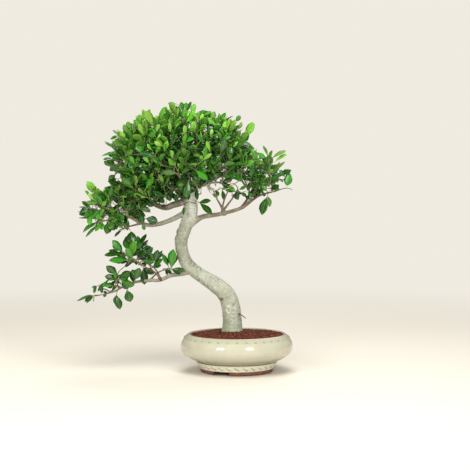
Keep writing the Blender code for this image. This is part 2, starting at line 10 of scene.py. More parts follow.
import bpy
import numpy as np
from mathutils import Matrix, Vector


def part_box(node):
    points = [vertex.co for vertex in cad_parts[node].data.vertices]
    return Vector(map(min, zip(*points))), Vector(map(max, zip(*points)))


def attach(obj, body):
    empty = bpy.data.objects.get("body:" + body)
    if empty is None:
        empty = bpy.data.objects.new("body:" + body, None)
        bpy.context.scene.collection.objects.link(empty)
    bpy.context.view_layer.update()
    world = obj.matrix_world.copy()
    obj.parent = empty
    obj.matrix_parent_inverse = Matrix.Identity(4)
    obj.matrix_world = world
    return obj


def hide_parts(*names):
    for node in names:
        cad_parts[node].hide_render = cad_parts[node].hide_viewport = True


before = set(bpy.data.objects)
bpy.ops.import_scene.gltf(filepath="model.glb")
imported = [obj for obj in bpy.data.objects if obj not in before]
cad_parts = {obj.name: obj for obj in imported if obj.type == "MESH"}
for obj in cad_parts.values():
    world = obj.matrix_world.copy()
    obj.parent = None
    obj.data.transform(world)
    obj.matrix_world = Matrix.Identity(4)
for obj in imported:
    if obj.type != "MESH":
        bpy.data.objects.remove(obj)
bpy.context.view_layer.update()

pot_low, pot_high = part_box("pot")
AXIS = np.array([(pot_low[0] + pot_high[0]) / 2, (pot_low[1] + pot_high[1]) / 2, 0.0])
print("pot axis at", AXIS.round(4), "pot is", round(pot_high[2], 4), "m tall")

# %% [markdown]
# ## The camera
# A product view from almost level, a little above the middle of the tree, from nearly three
# metres away, so the lines stay calm and the pot's rim shows as a narrow ellipse.
# %% Camera
LENS, SENSOR_WIDTH, DEGREES_DOWN = 91.9, 36.0, 2.39
VIEWPOINT = np.array([-0.00404, -2.7575, 0.429])
eye = bpy.data.cameras.new("eye")
eye.lens, eye.sensor_width = LENS, SENSOR_WIDTH
camera = bpy.data.objects.new("camera", eye)
camera.location = AXIS + VIEWPOINT
camera.rotation_euler = (math.radians(90 - DEGREES_DOWN), 0.0, 0.0)
bpy.context.scene.collection.objects.link(camera)
bpy.context.scene.camera = camera
print("camera", [round(v, 3) for v in camera.location])

# %% [markdown]
# ## Tools of this lesson
# Each new piece is an array of points worked out with numpy and an array of faces. `put_mesh`
# pours both into Blender at once. Marks are numbers kept on the points (how thick the wood is
# here, how thick the glaze), which the materials read.
# %% Points and faces into a mesh
def put_mesh(name, points, *face_groups):
    """A mesh from an array of points and one array of faces for each number of corners."""
    points = np.asarray(points, dtype=np.float32).reshape(-1, 3)
    groups = [np.asarray(group, dtype=np.int32) for group in face_groups]
    corners = np.concatenate([group.ravel() for group in groups])
    sizes = np.concatenate([np.full(len(group), group.shape[1]) for group in groups])
    starts = np.concatenate(([0], np.cumsum(sizes)[:-1])).astype(np.int32)
    mesh = bpy.data.meshes.new(name)
    mesh.vertices.add(len(points))
    mesh.vertices.foreach_set("co", points.ravel())
    mesh.loops.add(len(corners))
    mesh.loops.foreach_set("vertex_index", corners)
    mesh.polygons.add(len(sizes))
    mesh.polygons.foreach_set("loop_start", starts)
    mesh.update(calc_edges=True)
    mesh.shade_smooth()
    return mesh


def put_piece(name, mesh, *materials):
    """An object for a finished mesh, carried by the one body of this part."""
    thing = bpy.data.objects.new(name, mesh)
    bpy.context.scene.collection.objects.link(thing)
    for material in materials:
        mesh.materials.append(material)
    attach(thing, "root")
    mesh.calc_loop_triangles()
    print(name, len(mesh.vertices), "points", len(mesh.loop_triangles), "triangles")
    return thing


def mark(mesh, name, values):
    """Keeps one number, or one vector, for each point of a mesh."""
    values = np.asarray(values, dtype=np.float32)
    if values.ndim == 1:
        mesh.attributes.new(name, "FLOAT", "POINT").data.foreach_set("value", values)
    else:
        mesh.attributes.new(name, "FLOAT_VECTOR", "POINT").data.foreach_set("vector", values.ravel())


def points_of(mesh, kind="co"):
    """The points of a mesh, or their normals, as an array."""
    flat = np.empty(len(mesh.vertices) * 3, dtype=np.float32)
    mesh.vertices.foreach_get(kind, flat)
    return flat.reshape(-1, 3).astype(float)


# %% Faces of a grid that closes round
def grid_faces(rows, columns):
    """Quads between rows of a grid whose columns close round, and a fan of triangles at each end.

    Point (i, j) is number i * columns + j; the two end points follow after the grid.
    """
    i, j = np.meshgrid(np.arange(rows - 1), np.arange(columns), indexing="ij")
    here, after = i * columns + j, i * columns + (j + 1) % columns
    quads = np.stack((here, after, after + columns, here + columns), axis=-1).reshape(-1, 4)
    ring = np.arange(columns)
    start = np.full(columns, rows * columns)
    last = (rows - 1) * columns
    fan = np.stack((start, np.roll(ring, -1), ring), axis=-1)
    top = np.stack((start + 1, last + ring, last + np.roll(ring, -1)), axis=-1)
    return quads, np.concatenate((fan, top))


def repeat_faces(faces, count, stride):
    """The same faces for many copies whose points follow each other, `stride` points apart."""
    return (faces[None] + stride * np.arange(count)[:, None, None]).reshape(-1, faces.shape[1])


# %% Smooth lines and smooth noise
def smooth_line(points, spacing, measured):
    """Catmull-Rom curve through rows of numbers, read off at equal steps of its length.

    Between b and c, with neighbours a and d, the curve is half of
    2b + (c - a)t + (2a - 5b + 4c - d)t^2 + (3b - a - 3c + d)t^3. The length counts only the
    first `measured` columns.
    """
    p = np.asarray(points, dtype=float)
    ends = np.vstack((2 * p[0] - p[1], p, 2 * p[-1] - p[-2]))
    a, b, c, d = (ends[k:len(ends) - 3 + k, None] for k in range(4))
    t = np.linspace(0, 1, 24, endpoint=False)[None, :, None]
    curve = 0.5 * (2 * b + (c - a) * t + (2 * a - 5 * b + 4 * c - d) * t ** 2
                   + (3 * b - a - 3 * c + d) * t ** 3)
    curve = np.vstack((curve.reshape(-1, p.shape[1]), p[-1:]))
    steps = np.linalg.norm(np.diff(curve[:, :measured], axis=0), axis=1)
    length = np.concatenate(([0.0], np.cumsum(steps)))
    count = max(3, int(round(length[-1] / spacing)) + 1)
    along = np.linspace(0.0, length[-1], count)
    return np.column_stack([np.interp(along, length, column) for column in curve.T])


def smooth_noise(points, size, seed):
    """Noise from -1 to 1: a random number at each corner of cubes of this size, blended
    across the cube with the weight 3t^2 - 2t^3 in each direction."""
    spot = np.asarray(points, dtype=float) / size
    cell = np.floor(spot).astype(np.int64)
    t = spot - cell
    t = t * t * (3 - 2 * t)
    total = np.zeros(len(spot))
    for corner in np.ndindex(2, 2, 2):
        at = cell + corner
        code = at[:, 0] * 73856093 ^ at[:, 1] * 19349663 ^ at[:, 2] * 83492791 ^ seed * 2654435761
        code = (code ^ (code >> 13)) * 1274126177 & 0xFFFFFFFF
        code = (code ^ (code >> 16)) & 0xFFFF
        weight = np.prod(np.where(np.array(corner) == 1, t, 1 - t), axis=1)
        total += weight * (code / 32767.5 - 1)
    return total


def bump(value, low, high):
    """0 below low, 1 above high, and a smooth step between them."""
    t = np.clip((value - low) / (high - low), 0, 1)
    return t * t * (3 - 2 * t)


def unit(vectors):
    """Vectors of length one."""
    return vectors / np.maximum(np.linalg.norm(vectors, axis=-1, keepdims=True), 1e-12)


def full_turn(count):
    """Angles that go once round in equal steps."""
    return 2 * np.pi * np.arange(count) / count


def share_of_segment(spots, a, b):
    """How far along the segment from a to b, 0 to 1, its point nearest to each spot is."""
    return np.clip(np.sum((spots - a) * (b - a), axis=2) / np.sum((b - a) ** 2, axis=2), 0, 1)


print("smooth noise spreads over", np.ptp(smooth_noise(np.random.default_rng(1).random((500, 3)), 0.1, 3)).round(2))

# %% [markdown]
# ## Node helpers
# A material is a small chain of nodes. `Recipe` keeps the chain readable: it adds a node, sets its
# values and joins it to the one before. Two effects are used by several materials and are built
# once as groups: a cloudy tone, and a fine grain for the bump.
# %% A recipe of nodes
class Recipe:
    """Adds nodes to one material or group and links their sockets."""

    def __init__(self, tree):
        self.tree = tree

    def add(self, kind, values=(), **inputs):
        node = self.tree.nodes.new(kind)
        for name, value in dict(values).items():
            setattr(node, name, value)
        for name, value in inputs.items():
            self.feed(node, name.replace("_", " "), value)
        return node

    def feed(self, node, name, value):
        """Links an output to an input, or sets the input to a plain value."""
        socket = node.inputs[int(name)] if name.isdigit() else node.inputs[name]
        if isinstance(value, bpy.types.NodeSocket):
            self.tree.links.new(value, socket)
        else:
            socket.default_value = value

    def numbered(self, kind, settings, values, slots=range(5), output=0):
        """The output of a new node whose inputs are given by number, not by name."""
        node = self.add(kind, settings)
        for slot, value in zip(slots, values):
            self.feed(node, str(slot), value)
        return node.outputs[output]

    def math(self, operation, first, second=0.0):
        return self.numbered("ShaderNodeMath", {"operation": operation}, (first, second))

    def blend(self, factor, first, second):
        return self.numbered("ShaderNodeMix", {"data_type": "RGBA"}, (factor, first, second), (0, 6, 7), 2)

    def tint(self, body, mask, share, colour):
        """The body colour, moved towards another colour by a share of a mask."""
        return self.blend(self.math("MULTIPLY", mask, share), body, colour)

    def mix_shaders(self, factor, first, second):
        return self.numbered("ShaderNodeMixShader", (), (factor, first, second))

    def ramp(self, value, low, high, to_low=0.0, to_high=1.0):
        return self.numbered("ShaderNodeMapRange", {"interpolation_type": "SMOOTHSTEP"},
                             (value, low, high, to_low, to_high))

    def noise(self, vector, scale, detail=2.0, roughness=0.5):
        return self.add("ShaderNodeTexNoise", Vector=vector, Scale=scale, Detail=detail,
                        Roughness=roughness).outputs["Fac"]

    def attribute(self, name, output="Fac"):
        return self.add("ShaderNodeAttribute", {"attribute_name": name}).outputs[output]

    def place(self):
        return self.add("ShaderNodeTexCoord").outputs["Object"]

    def stretched(self, vector, scale):
        return self.add("ShaderNodeMapping", Vector=vector, Scale=scale).outputs[0]

    def relief(self, surface, height, strength, distance):
        """Joins a bump to the surface: the height, at this strength, spans this many metres."""
        node = self.add("ShaderNodeBump", Strength=strength, Distance=distance, Height=height)
        self.feed(surface, "Normal", node.outputs["Normal"])

    def group(self, tree, **inputs):
        node = self.add("ShaderNodeGroup", {"node_tree": tree})
        for name, value in inputs.items():
            self.feed(node, name, value)
        return node.outputs[0]


def finish(name, **plain):
    """A new material: its recipe and its Principled BSDF, with the plain values set on it."""
    material = bpy.data.materials.new(name)
    material.use_nodes = True
    surface = material.node_tree.nodes["Principled BSDF"]
    for socket, value in plain.items():
        surface.inputs[socket.replace("_", " ")].default_value = value
    return material, Recipe(material.node_tree), surface


def rgb(red, green, blue):
    """A colour given as on a screen, 0 to 255, turned into the linear light that nodes use."""
    screen = np.array([red, green, blue]) / 255
    linear = np.where(screen <= 0.04045, screen / 12.92, ((screen + 0.055) / 1.055) ** 2.4)
    return (*linear.tolist(), 1.0)


# %% Two shared groups
def shared_group(name, inputs):
    """An empty group with named number inputs, a Vector input and one Result."""
    tree = bpy.data.node_groups.new(name, "ShaderNodeTree")
    tree.interface.new_socket("Vector", in_out="INPUT", socket_type="NodeSocketVector")
    for label, value in inputs.items():
        socket = tree.interface.new_socket(label, in_out="INPUT", socket_type="NodeSocketFloat")
        socket.default_value = value
    tree.interface.new_socket("Result", in_out="OUTPUT", socket_type="NodeSocketFloat")
    return tree, Recipe(tree), tree.nodes.new("NodeGroupInput"), tree.nodes.new("NodeGroupOutput")


cloudy_tone, recipe, given, result = shared_group("cloudy_tone", {"Scale": 20.0, "Spread": 0.2})
broad = recipe.noise(given.outputs["Vector"], given.outputs["Scale"], 3.0)
half = recipe.math("MULTIPLY", given.outputs["Spread"], 0.5)
recipe.feed(result, "Result", recipe.ramp(
    broad, recipe.math("SUBTRACT", 0.5, half), recipe.math("ADD", 0.5, half)))

fine_grain, recipe, given, result = shared_group("fine_grain", {"Scale": 900.0, "Pits": 0.3})
grain = recipe.noise(given.outputs["Vector"], given.outputs["Scale"], 4.0, 0.6)
coarse = recipe.math("MULTIPLY", given.outputs["Scale"], 0.35)
pit = recipe.ramp(recipe.noise(given.outputs["Vector"], coarse, 1.0), 0.62, 0.74)
recipe.feed(result, "Result", recipe.math(
    "SUBTRACT", grain, recipe.math("MULTIPLY", pit, given.outputs["Pits"])))
print("groups:", cloudy_tone.name, fine_grain.name)

# %% [markdown]
# ## The pot
# A thrown drum bowl: a foot ring with three cut-outs, a pressed ornament band above it, a full
# belly, a row of small clay studs on the shoulder and a lip that turns in. A potter's wheel makes
# a surface of revolution, so the pot is one: a profile carried once round the axis. The studs and
# the ornament are pushed out along the profile's normal by a formula of the angle and the height.
# %% Profile of the pot
BARE_Z, BAND_LOW, BAND_HIGH, STUD_Z = 0.0088, 0.0098, 0.0222, 0.0794
STUDS, MOTIFS, FOOT_TOP = 36, 30, 0.0092
GROOVE_LOW, GROOVE_HIGH = 0.0231, 0.0240
inside_floor = [(0.0005, 0.009), (0.024, 0.009), (0.048, 0.009), (0.068, 0.009), (0.0722, 0.0082)]
foot = [(0.0731, 0.0060), (0.0733, 0.0012), (0.0745, 0.0001), (0.0818, 0.0001), (0.0831, 0.0008)]
band = [(0.0840, 0.0040), (0.0846, 0.0084), (0.0862, 0.0100), (0.0890, 0.0152), (0.0915, 0.0198),
        (0.0938, 0.0224), (0.0936, 0.0233), (0.0922, 0.0240), (0.0926, 0.0247), (0.0950, 0.0255)]
belly = [(0.0950, 0.0255), (0.1040, 0.0294), (0.1140, 0.0347), (0.1225, 0.0413), (0.1277, 0.0481),
         (0.1297, 0.0570), (0.1292, 0.0640), (0.1265, 0.0710), (0.1238, 0.0755)]
shoulder = [(0.1238, 0.0755), (0.1210, 0.0794), (0.1172, 0.0832)]
lip = [(0.1172, 0.0832), (0.1140, 0.0856), (0.1118, 0.0868), (0.1094, 0.0868), (0.1079, 0.0858),
       (0.1075, 0.0840), (0.1077, 0.0800)]
wall = [(0.1100, 0.0780), (0.1195, 0.0695), (0.1235, 0.0560), (0.1165, 0.0425), (0.1000, 0.0290),
        (0.0800, 0.0160), (0.0400, 0.0160), (0.0005, 0.0160)]
profile = np.vstack((
    inside_floor, foot, smooth_line(band, 0.00085, 2), smooth_line(belly, 0.0040, 2)[1:],
    smooth_line(shoulder, 0.00055, 2)[1:], smooth_line(lip, 0.0012, 2)[1:], wall))
print("pot profile:", len(profile), "points")

# %% The pot turned, with its relief
COLUMNS = STUDS * 22
STUD_RADIUS, STUD_HEIGHT, ORNAMENT_HEIGHT = 0.00155, 0.00135, 0.00050
NOTCH_TURN, NOTCH_RADIUS = math.radians(115.5), 0.078
NOTCH_HEIGHT, NOTCH_HALF, NOTCH_CORNER = 0.0078, 0.0205, 0.0022


def stud_shape(turn, radius, z):
    """Distance from the nearest stud's middle: across is radius times the angle to it, along is
    the height difference stretched by the shoulder's slope."""
    off = (turn * STUDS / (2 * np.pi) + 0.5) % 1 - 0.5
    across = off * 2 * np.pi / STUDS * radius
    return np.hypot(across, (z - STUD_Z) * 1.4)


def place_in_band(turn, z):
    """Place in the ornament band: u from 0 to 1 across each motif, v from 0 to 1 up the band."""
    return turn * MOTIFS / (2 * np.pi) % 1, (z - BAND_LOW) / (BAND_HIGH - BAND_LOW)


def ornament(turn, z):
    """Pressed band: a scallop line, a slanted stroke and a dot for each motif, between two rims.

    The scallop is v = 0.30 + 0.42 |sin(pi u)|, the stroke is the line v = 0.2 + 1.5 (u - 0.3), and
    each line is a ridge exp(-(distance / width)^2).
    """
    u, v = place_in_band(turn, z)
    scallop = np.exp(-((v - 0.30 - 0.42 * np.abs(np.sin(np.pi * u))) / 0.10) ** 2)
    stroke = np.exp(-((v - 0.20 - 1.5 * (u - 0.30)) / 0.14) ** 2) * bump(0.24 - np.abs(u - 0.5), 0, 0.08)
    dot = np.exp(-(((u + 0.5) % 1 - 0.5) / 0.09) ** 2 - ((v - 0.74) / 0.12) ** 2)
    rims = np.exp(-((v - 0.02) / 0.06) ** 2) + np.exp(-((v - 0.97) / 0.06) ** 2)
    inside = bump(v, -0.1, 0.02) * bump(-v, -1.1, -0.98)
    return np.clip(scallop + stroke + dot + rims, 0, 1) * inside


def glaze_line(turn, z):
    """Where glaze gathers in the band: a wave at 45% of its height, swinging by 18%, thick in the
    middle of each motif and a quarter as thick between them."""
    u, v = place_in_band(turn, z)
    wave = np.exp(-((v - 0.45 - 0.18 * np.sin(2 * np.pi * u)) / 0.16) ** 2)
    return wave * (0.25 + 0.75 * bump(0.36 - np.abs(u - 0.5), 0, 0.10))


def notch_height(turn):
    """How high the foot is cut out: 7.8 mm over three arcs 40 mm long, with rounded corners."""
    off = (turn + NOTCH_TURN) % (2 * np.pi / 3)
    off = np.minimum(off, 2 * np.pi / 3 - off) * NOTCH_RADIUS
    return NOTCH_HEIGHT * bump(NOTCH_HALF - off, 0, NOTCH_CORNER)


turn = full_turn(COLUMNS)
radius, z = np.broadcast_arrays(profile[:, :1], profile[:, 1:], turn[None])[:2]
round_about = np.broadcast_to(turn[None], radius.shape)
slope = unit(np.gradient(profile, axis=0))
out_r, out_z = slope[:, 1:], -slope[:, :1]
outer = bump(profile[:, 0], 0.082, 0.084)[:, None] * (np.arange(len(profile)) < len(profile) - len(wall))[:, None]
stud = np.exp(-(stud_shape(round_about, radius, z) / STUD_RADIUS) ** 2.6)
raised = outer * (STUD_HEIGHT * stud + ORNAMENT_HEIGHT * ornament(round_about, z))
radius = radius + raised * out_r
z = z + raised * out_z
in_foot = (profile[:, 0] > 0.0725) & (profile[:, 0] < 0.0850) & (profile[:, 1] < FOOT_TOP)
cut = notch_height(round_about)
z = np.where(in_foot[:, None], cut + z * (1 - cut / FOOT_TOP), z)
radius = radius + 0.00025 * np.sin(3 * round_about + 1.0) * bump(z, 0.02, 0.06)
rings = np.stack((radius * np.cos(round_about), radius * np.sin(round_about), z), axis=-1) + AXIS
poles = AXIS + np.array([[0, 0, profile[0, 1]], [0, 0, profile[-1, 1]]])
quads, fans = grid_faces(len(profile), COLUMNS)
pot_mesh = put_mesh("pot_turned", np.vstack((rings.reshape(-1, 3), poles)), quads, fans)
print("pot turned:", rings.shape, "highest relief", (raised.max() * 1000).round(2), "mm")

# %% [markdown]
# Two drainage holes go through the floor. They break the turned form, so a cutter for each is
# taken away with a Boolean modifier, and the result becomes the pot's mesh.
# %% Drainage holes
HOLE_AT, HOLE_RADIUS, DRILL_SIDES, DRILL_ENDS = 0.040, 0.010, 48, (0.004, 0.021)


def apply_modifiers(mesh, name, *settings):
    """Puts modifiers on a passing object, each given as (kind, values), and keeps the result."""
    passing = bpy.data.objects.new("passing", mesh)
    bpy.context.scene.collection.objects.link(passing)
    for kind, values in settings:
        modifier = passing.modifiers.new(kind.lower(), kind)
        for key, value in values.items():
            setattr(modifier, key, value)
    graph = bpy.context.evaluated_depsgraph_get()
    made = bpy.data.meshes.new_from_object(passing.evaluated_get(graph))
    made.name = name
    bpy.data.objects.remove(passing)
    return made


def drill_mesh(offset):
    """An upright cylinder through the floor at this offset from the axis."""
    angle = full_turn(DRILL_SIDES)
    x, y = AXIS[0] + offset + HOLE_RADIUS * np.cos(angle), AXIS[1] + HOLE_RADIUS * np.sin(angle)
    rows = np.stack([np.column_stack((x, y, np.full(DRILL_SIDES, height))) for height in DRILL_ENDS])
    ends = [(AXIS[0] + offset, AXIS[1], height) for height in DRILL_ENDS]
    return put_mesh("drill", np.vstack((rows.reshape(-1, 3), ends)), *grid_faces(2, DRILL_SIDES))


drills = [bpy.data.objects.new("drill", drill_mesh(offset)) for offset in (-HOLE_AT, HOLE_AT)]
for drill in drills:
    bpy.context.scene.collection.objects.link(drill)
holes = [("BOOLEAN", {"operation": "DIFFERENCE", "solver": "FAST", "object": drill}) for drill in drills]
pot_mesh = apply_modifiers(pot_mesh, "pot_drilled", *holes)
for drill in drills:
    bpy.data.objects.remove(drill)
print("pot drilled:", len(pot_mesh.polygons), "faces")

# %% Where the glaze is thick, thin or missing, and where shade and light are painted on it
spots = points_of(pot_mesh) - AXIS
turn_at = np.arctan2(spots[:, 1], spots[:, 0])
radius_at = np.hypot(spots[:, 0], spots[:, 1])
height_at = spots[:, 2]
outside = bump(radius_at, 0.082, 0.084) * (height_at < 0.0866)
from_stud = stud_shape(turn_at, radius_at, height_at)
in_band = bump(height_at, BARE_Z, BAND_LOW) * bump(-height_at, -0.0238, -GROOVE_LOW)
pool = 0.95 * np.exp(-((from_stud - 0.0021) / 0.0010) ** 2)
pool += 0.30 * np.exp(-((height_at - STUD_Z) / 0.0028) ** 2)
pool += in_band * glaze_line(turn_at, height_at)
# Painted shade: the lower belly is darkened from the groove up, fading over about a centimetre, where the belly's
# underside is in shade.
groove_shade_then_tube_points = np.exp(-(np.clip(height_at - 0.0250, 0, None) / 0.0105) ** 2)
groove_shade_then_tube_points *= bump(height_at, GROOVE_LOW, GROOVE_HIGH)
thin = 0.35 * bump(height_at, 0.0796, 0.0836) + 0.45 * bump(height_at, 0.0845, 0.0868)
wavy = 0.0009 * smooth_noise(spots, 0.014, 5)
bare = bump(-(height_at + wavy), -BARE_Z - 0.0004, -BARE_Z + 0.0004) * (radius_at > 0.0715)
under = bump(-(radius_at - 0.0735), 0, 0.002) * bump(-height_at, -0.0125, -0.0110)
within = bump(-height_at, -0.079, -0.074) * (radius_at < 0.1238) * (height_at > 0.0155) * (outside < 0.5)
mark(pot_mesh, "pool", np.clip(pool, 0, 1) * outside)
mark(pot_mesh, "thin", np.clip(thin, 0, 1) * outside)
# Painted light: the foot band is marked to be painted paler, against the shade that the belly puts on it.
mark(pot_mesh, "band", in_band * outside)
mark(pot_mesh, "groove_shade_then_tube_points", groove_shade_then_tube_points * outside)
mark(pot_mesh, "bare", np.clip(bare + under + within, 0, 1))
print("bare clay on", round(float((bare > 0.5).mean() * 100), 1), "% of the pot's points")

# %% [markdown]
# The glaze is a cream that turns faintly celadon green where it ran thick: round the studs and in
# the ornament. It is thin and paler on edges. The lower belly above the groove is darkened with
# painted shade, and the foot band is made paler with painted light. Under a wavy line the glaze
# stops, and the foot shows red-brown clay. The gloss is a low roughness with a hair of orange peel in the bump.
# %% Glaze and clay
cream_glaze, recipe, surface = finish("cream_glaze", Coat_Weight=0.35, Coat_Roughness=0.06, IOR=1.52)
place = recipe.place()
pool, thin, bare = recipe.attribute("pool"), recipe.attribute("thin"), recipe.attribute("bare")
cloud = recipe.group(cloudy_tone, Vector=place, Scale=26.0, Spread=0.45)
cream = recipe.blend(cloud, rgb(197, 194, 173), rgb(190, 186, 162))
speck = recipe.ramp(recipe.noise(place, 420.0, 1.0), 0.73, 0.78, 0.0, 0.30)
cream = recipe.blend(speck, cream, rgb(176, 158, 120))
broken = recipe.math("MULTIPLY", pool, recipe.ramp(recipe.noise(place, 160.0), 0.30, 0.62, 0.55, 1.0))
# Painted light: the foot band's glaze is made paler, as if it were lit under the belly.
cream = recipe.tint(cream, recipe.attribute("band"), 0.92, rgb(240, 238, 216))
# Painted shade on the lower belly, above the groove.
cream = recipe.tint(cream, recipe.attribute("groove_shade_then_tube_points"), 0.80, rgb(114, 104, 78))
cream = recipe.tint(cream, broken, 0.85, rgb(126, 154, 110))
cream = recipe.tint(cream, thin, 0.85, rgb(184, 162, 142))
clay_cloud = recipe.group(cloudy_tone, Vector=place, Scale=90.0, Spread=0.5)
clay = recipe.blend(clay_cloud, rgb(112, 70, 58), rgb(138, 92, 78))
recipe.feed(surface, "Base Color", recipe.blend(bare, cream, clay))
gloss = recipe.ramp(recipe.noise(place, 60.0), 0.3, 0.7, 0.11, 0.17)
recipe.feed(surface, "Roughness", recipe.math("ADD", gloss, recipe.math("MULTIPLY", bare, 0.62)))
recipe.feed(surface, "Coat Weight", recipe.math("MULTIPLY", recipe.math("SUBTRACT", 1.0, bare), 0.35))
peel = recipe.noise(place, 210.0, 1.0)
grit = recipe.group(fine_grain, Vector=place, Scale=1400.0, Pits=0.5)
height = recipe.blend(bare, peel, recipe.math("MULTIPLY", grit, 5.0))
recipe.relief(surface, height, 0.5, 0.00012)
pot = put_piece("pot_glazed", pot_mesh, cream_glaze)
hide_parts("pot")

# %% [markdown]
# ## Drain screens and their wires
# The black mesh squares and bent wires under the soil keep the shape of the CAD model. They only
# need a finish: matt moulded plastic with a faint grain, and drawn aluminium with fine lines.
# %% Screen plastic and clip wire
screen_plastic, recipe, surface = finish("screen_plastic", IOR=1.46)
place = recipe.place()
cloud = recipe.group(cloudy_tone, Vector=place, Scale=160.0, Spread=0.5)
recipe.feed(surface, "Base Color", recipe.blend(cloud, rgb(34, 36, 34), rgb(47, 49, 45)))
recipe.feed(surface, "Roughness", recipe.ramp(cloud, 0.0, 1.0, 0.48, 0.62))
grit = recipe.group(fine_grain, Vector=place, Scale=2400.0, Pits=0.2)
recipe.relief(surface, grit, 0.35, 0.0001)

clip_wire, recipe, surface = finish("clip_wire", Metallic=1.0)
place = recipe.place()
drawn = recipe.stretched(place, (40.0, 2500.0, 2500.0))
lines = recipe.noise(drawn, 1.0, 3.0)
recipe.feed(surface, "Base Color", recipe.blend(lines, rgb(176, 176, 172), rgb(205, 205, 200)))
recipe.feed(surface, "Roughness", recipe.ramp(lines, 0.3, 0.7, 0.26, 0.42))
recipe.relief(surface, lines, 0.3, 0.00005)
for side in ("left", "right"):
    for node, material in ((f"drain_screen_{side}", screen_plastic), (f"screen_clip_{side}", clip_wire)):
        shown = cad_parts[node]
        shown.data.materials.clear()
        shown.data.materials.append(material)
        print(node, "has", material.name)

# %% [markdown]
# ## The soil
# Fired clay granules, two to five millimetres across, watered dark red-brown. The body below them
# is one closed turned surface that follows the inside of the pot, with a mounded top. The granules
# are separate: one small twenty-sided stone, stretched, turned and sunk into the surface thousands
# of times, which reads as loose grain better than any bump could.
# %% Soil body
SOIL_EDGE, MOUND, SOIL_RADIUS, SOIL_COLUMNS = 0.0836, 0.0060, 0.107, 144


def soil_top(x, y):
    """Height of the soil: a cosine mound that falls from the middle to the pot's wall, and noise."""
    share = np.clip(np.hypot(x, y) / SOIL_RADIUS, 0, 1)
    flat = np.column_stack((x, y, np.zeros_like(x)))
    lumps = 0.0011 * smooth_noise(flat, 0.013, 7) + 0.0007 * smooth_noise(flat, 0.005, 8)
    return SOIL_EDGE + MOUND * 0.5 * (1 + np.cos(np.pi * share)) + lumps


soil_wall = np.array([(0.002, 0.0164), (0.040, 0.0164), (0.0788, 0.0164), (0.0990, 0.0297),
                      (0.1157, 0.0431), (0.1228, 0.0560), (0.1188, 0.0690), (0.1092, 0.0776), (0.1071, 0.0800),
                      (0.1070, 0.0830)])
top_radius = np.linspace(0.1066, 0.0015, 44)
angle = full_turn(SOIL_COLUMNS)
sides = np.stack([np.column_stack((r * np.cos(angle), r * np.sin(angle), np.full(SOIL_COLUMNS, h)))
                  for r, h in soil_wall])
top_x, top_y = top_radius[:, None] * np.cos(angle), top_radius[:, None] * np.sin(angle)
top_z = soil_top(top_x.ravel(), top_y.ravel()).reshape(top_x.shape)
rows = np.concatenate((sides, np.stack((top_x, top_y, top_z), axis=-1)))
poles = np.array([[0, 0, soil_wall[0, 1]], [0, 0, soil_top(np.zeros(1), np.zeros(1))[0]]])
soil_points = np.vstack((rows.reshape(-1, 3), poles)) + AXIS
soil_mesh = put_mesh("soil_body", soil_points, *grid_faces(len(rows), SOIL_COLUMNS))
print("soil top from", top_z.min().round(4), "to", top_z.max().round(4))

# %% Granules
GOLD = (1 + 5 ** 0.5) / 2
STONE = unit(np.array([(-1, GOLD, 0), (1, GOLD, 0), (-1, -GOLD, 0), (1, -GOLD, 0), (0, -1, GOLD), (0, 1, GOLD),
                       (0, -1, -GOLD), (0, 1, -GOLD), (GOLD, 0, -1), (GOLD, 0, 1), (-GOLD, 0, -1), (-GOLD, 0, 1)]))
STONE_FACES = np.array([(0, 11, 5), (0, 5, 1), (0, 1, 7), (0, 7, 10), (0, 10, 11), (1, 5, 9), (5, 11, 4),
                        (11, 10, 2), (10, 7, 6), (7, 1, 8), (3, 9, 4), (3, 4, 2), (3, 2, 6), (3, 6, 8),
                        (3, 8, 9), (4, 9, 5), (2, 4, 11), (6, 2, 10), (8, 6, 7), (9, 8, 1)])
TRUNK_FOOT, CLEAR_OF_TRUNK = np.array([-0.011, 0.020]), 0.0225
FINE_PITCH, COARSE_PITCH, FINE_RADIUS, COARSE_RADIUS, FINE_ONES = 0.0029, 0.0046, 0.00145, 0.0020, 6000


def random_turns(rng, count):
    """Random rotations: a matrix from each random unit quaternion (w, x, y, z)."""
    w, x, y, z = unit(rng.normal(size=(count, 4))).T
    return np.stack((1 - 2 * (y * y + z * z), 2 * (x * y - w * z), 2 * (x * z + w * y),
                     2 * (x * y + w * z), 1 - 2 * (x * x + z * z), 2 * (y * z - w * x),
                     2 * (x * z - w * y), 2 * (y * z + w * x), 1 - 2 * (x * x + y * y)), axis=-1).reshape(-1, 3, 3)


def scatter_granules(rng, pitch):
    """Places on a six-sided lattice over the pot's mouth, each moved by up to 0.45 of a step."""
    side = np.arange(-0.112, 0.112, pitch)
    x, y = np.meshgrid(side, side * math.sqrt(3) / 2)
    x = x + (np.arange(len(side)) % 2)[:, None] * pitch / 2
    return np.column_stack((x.ravel(), y.ravel())) + rng.uniform(-0.45, 0.45, (x.size, 2)) * pitch


rng = np.random.default_rng(21)
spots = np.vstack((scatter_granules(rng, FINE_PITCH), scatter_granules(rng, COARSE_PITCH)))
size = np.where(np.arange(len(spots)) < FINE_ONES, FINE_RADIUS, COARSE_RADIUS) * rng.uniform(0.75, 1.25, len(spots))
from_trunk = np.hypot(*(spots - TRUNK_FOOT).T)
kept = (np.hypot(*spots.T) < 0.1069 - size) & (from_trunk > CLEAR_OF_TRUNK)
spots, size = spots[kept], size[kept]
count = len(spots)
squash = rng.uniform(0.72, 1.18, (count, 1, 3)) * size[:, None, None]
knobs = 1 + rng.uniform(-0.16, 0.16, (count, 12, 1))
stones = np.einsum("nij,nkj->nki", random_turns(rng, count), STONE[None] * knobs * squash)
middle = np.column_stack((spots, soil_top(*spots.T) + size * rng.uniform(-0.25, 0.55, count)))
points = stones + middle[:, None] + AXIS
granule_mesh = put_mesh("soil_granules", points, repeat_faces(STONE_FACES, count, 12))
granule_mesh.shade_flat()
mark(granule_mesh, "tone", np.repeat(rng.random(count), 12))
print(count, "granules, mean", (2000 * size.mean()).round(2), "mm across")

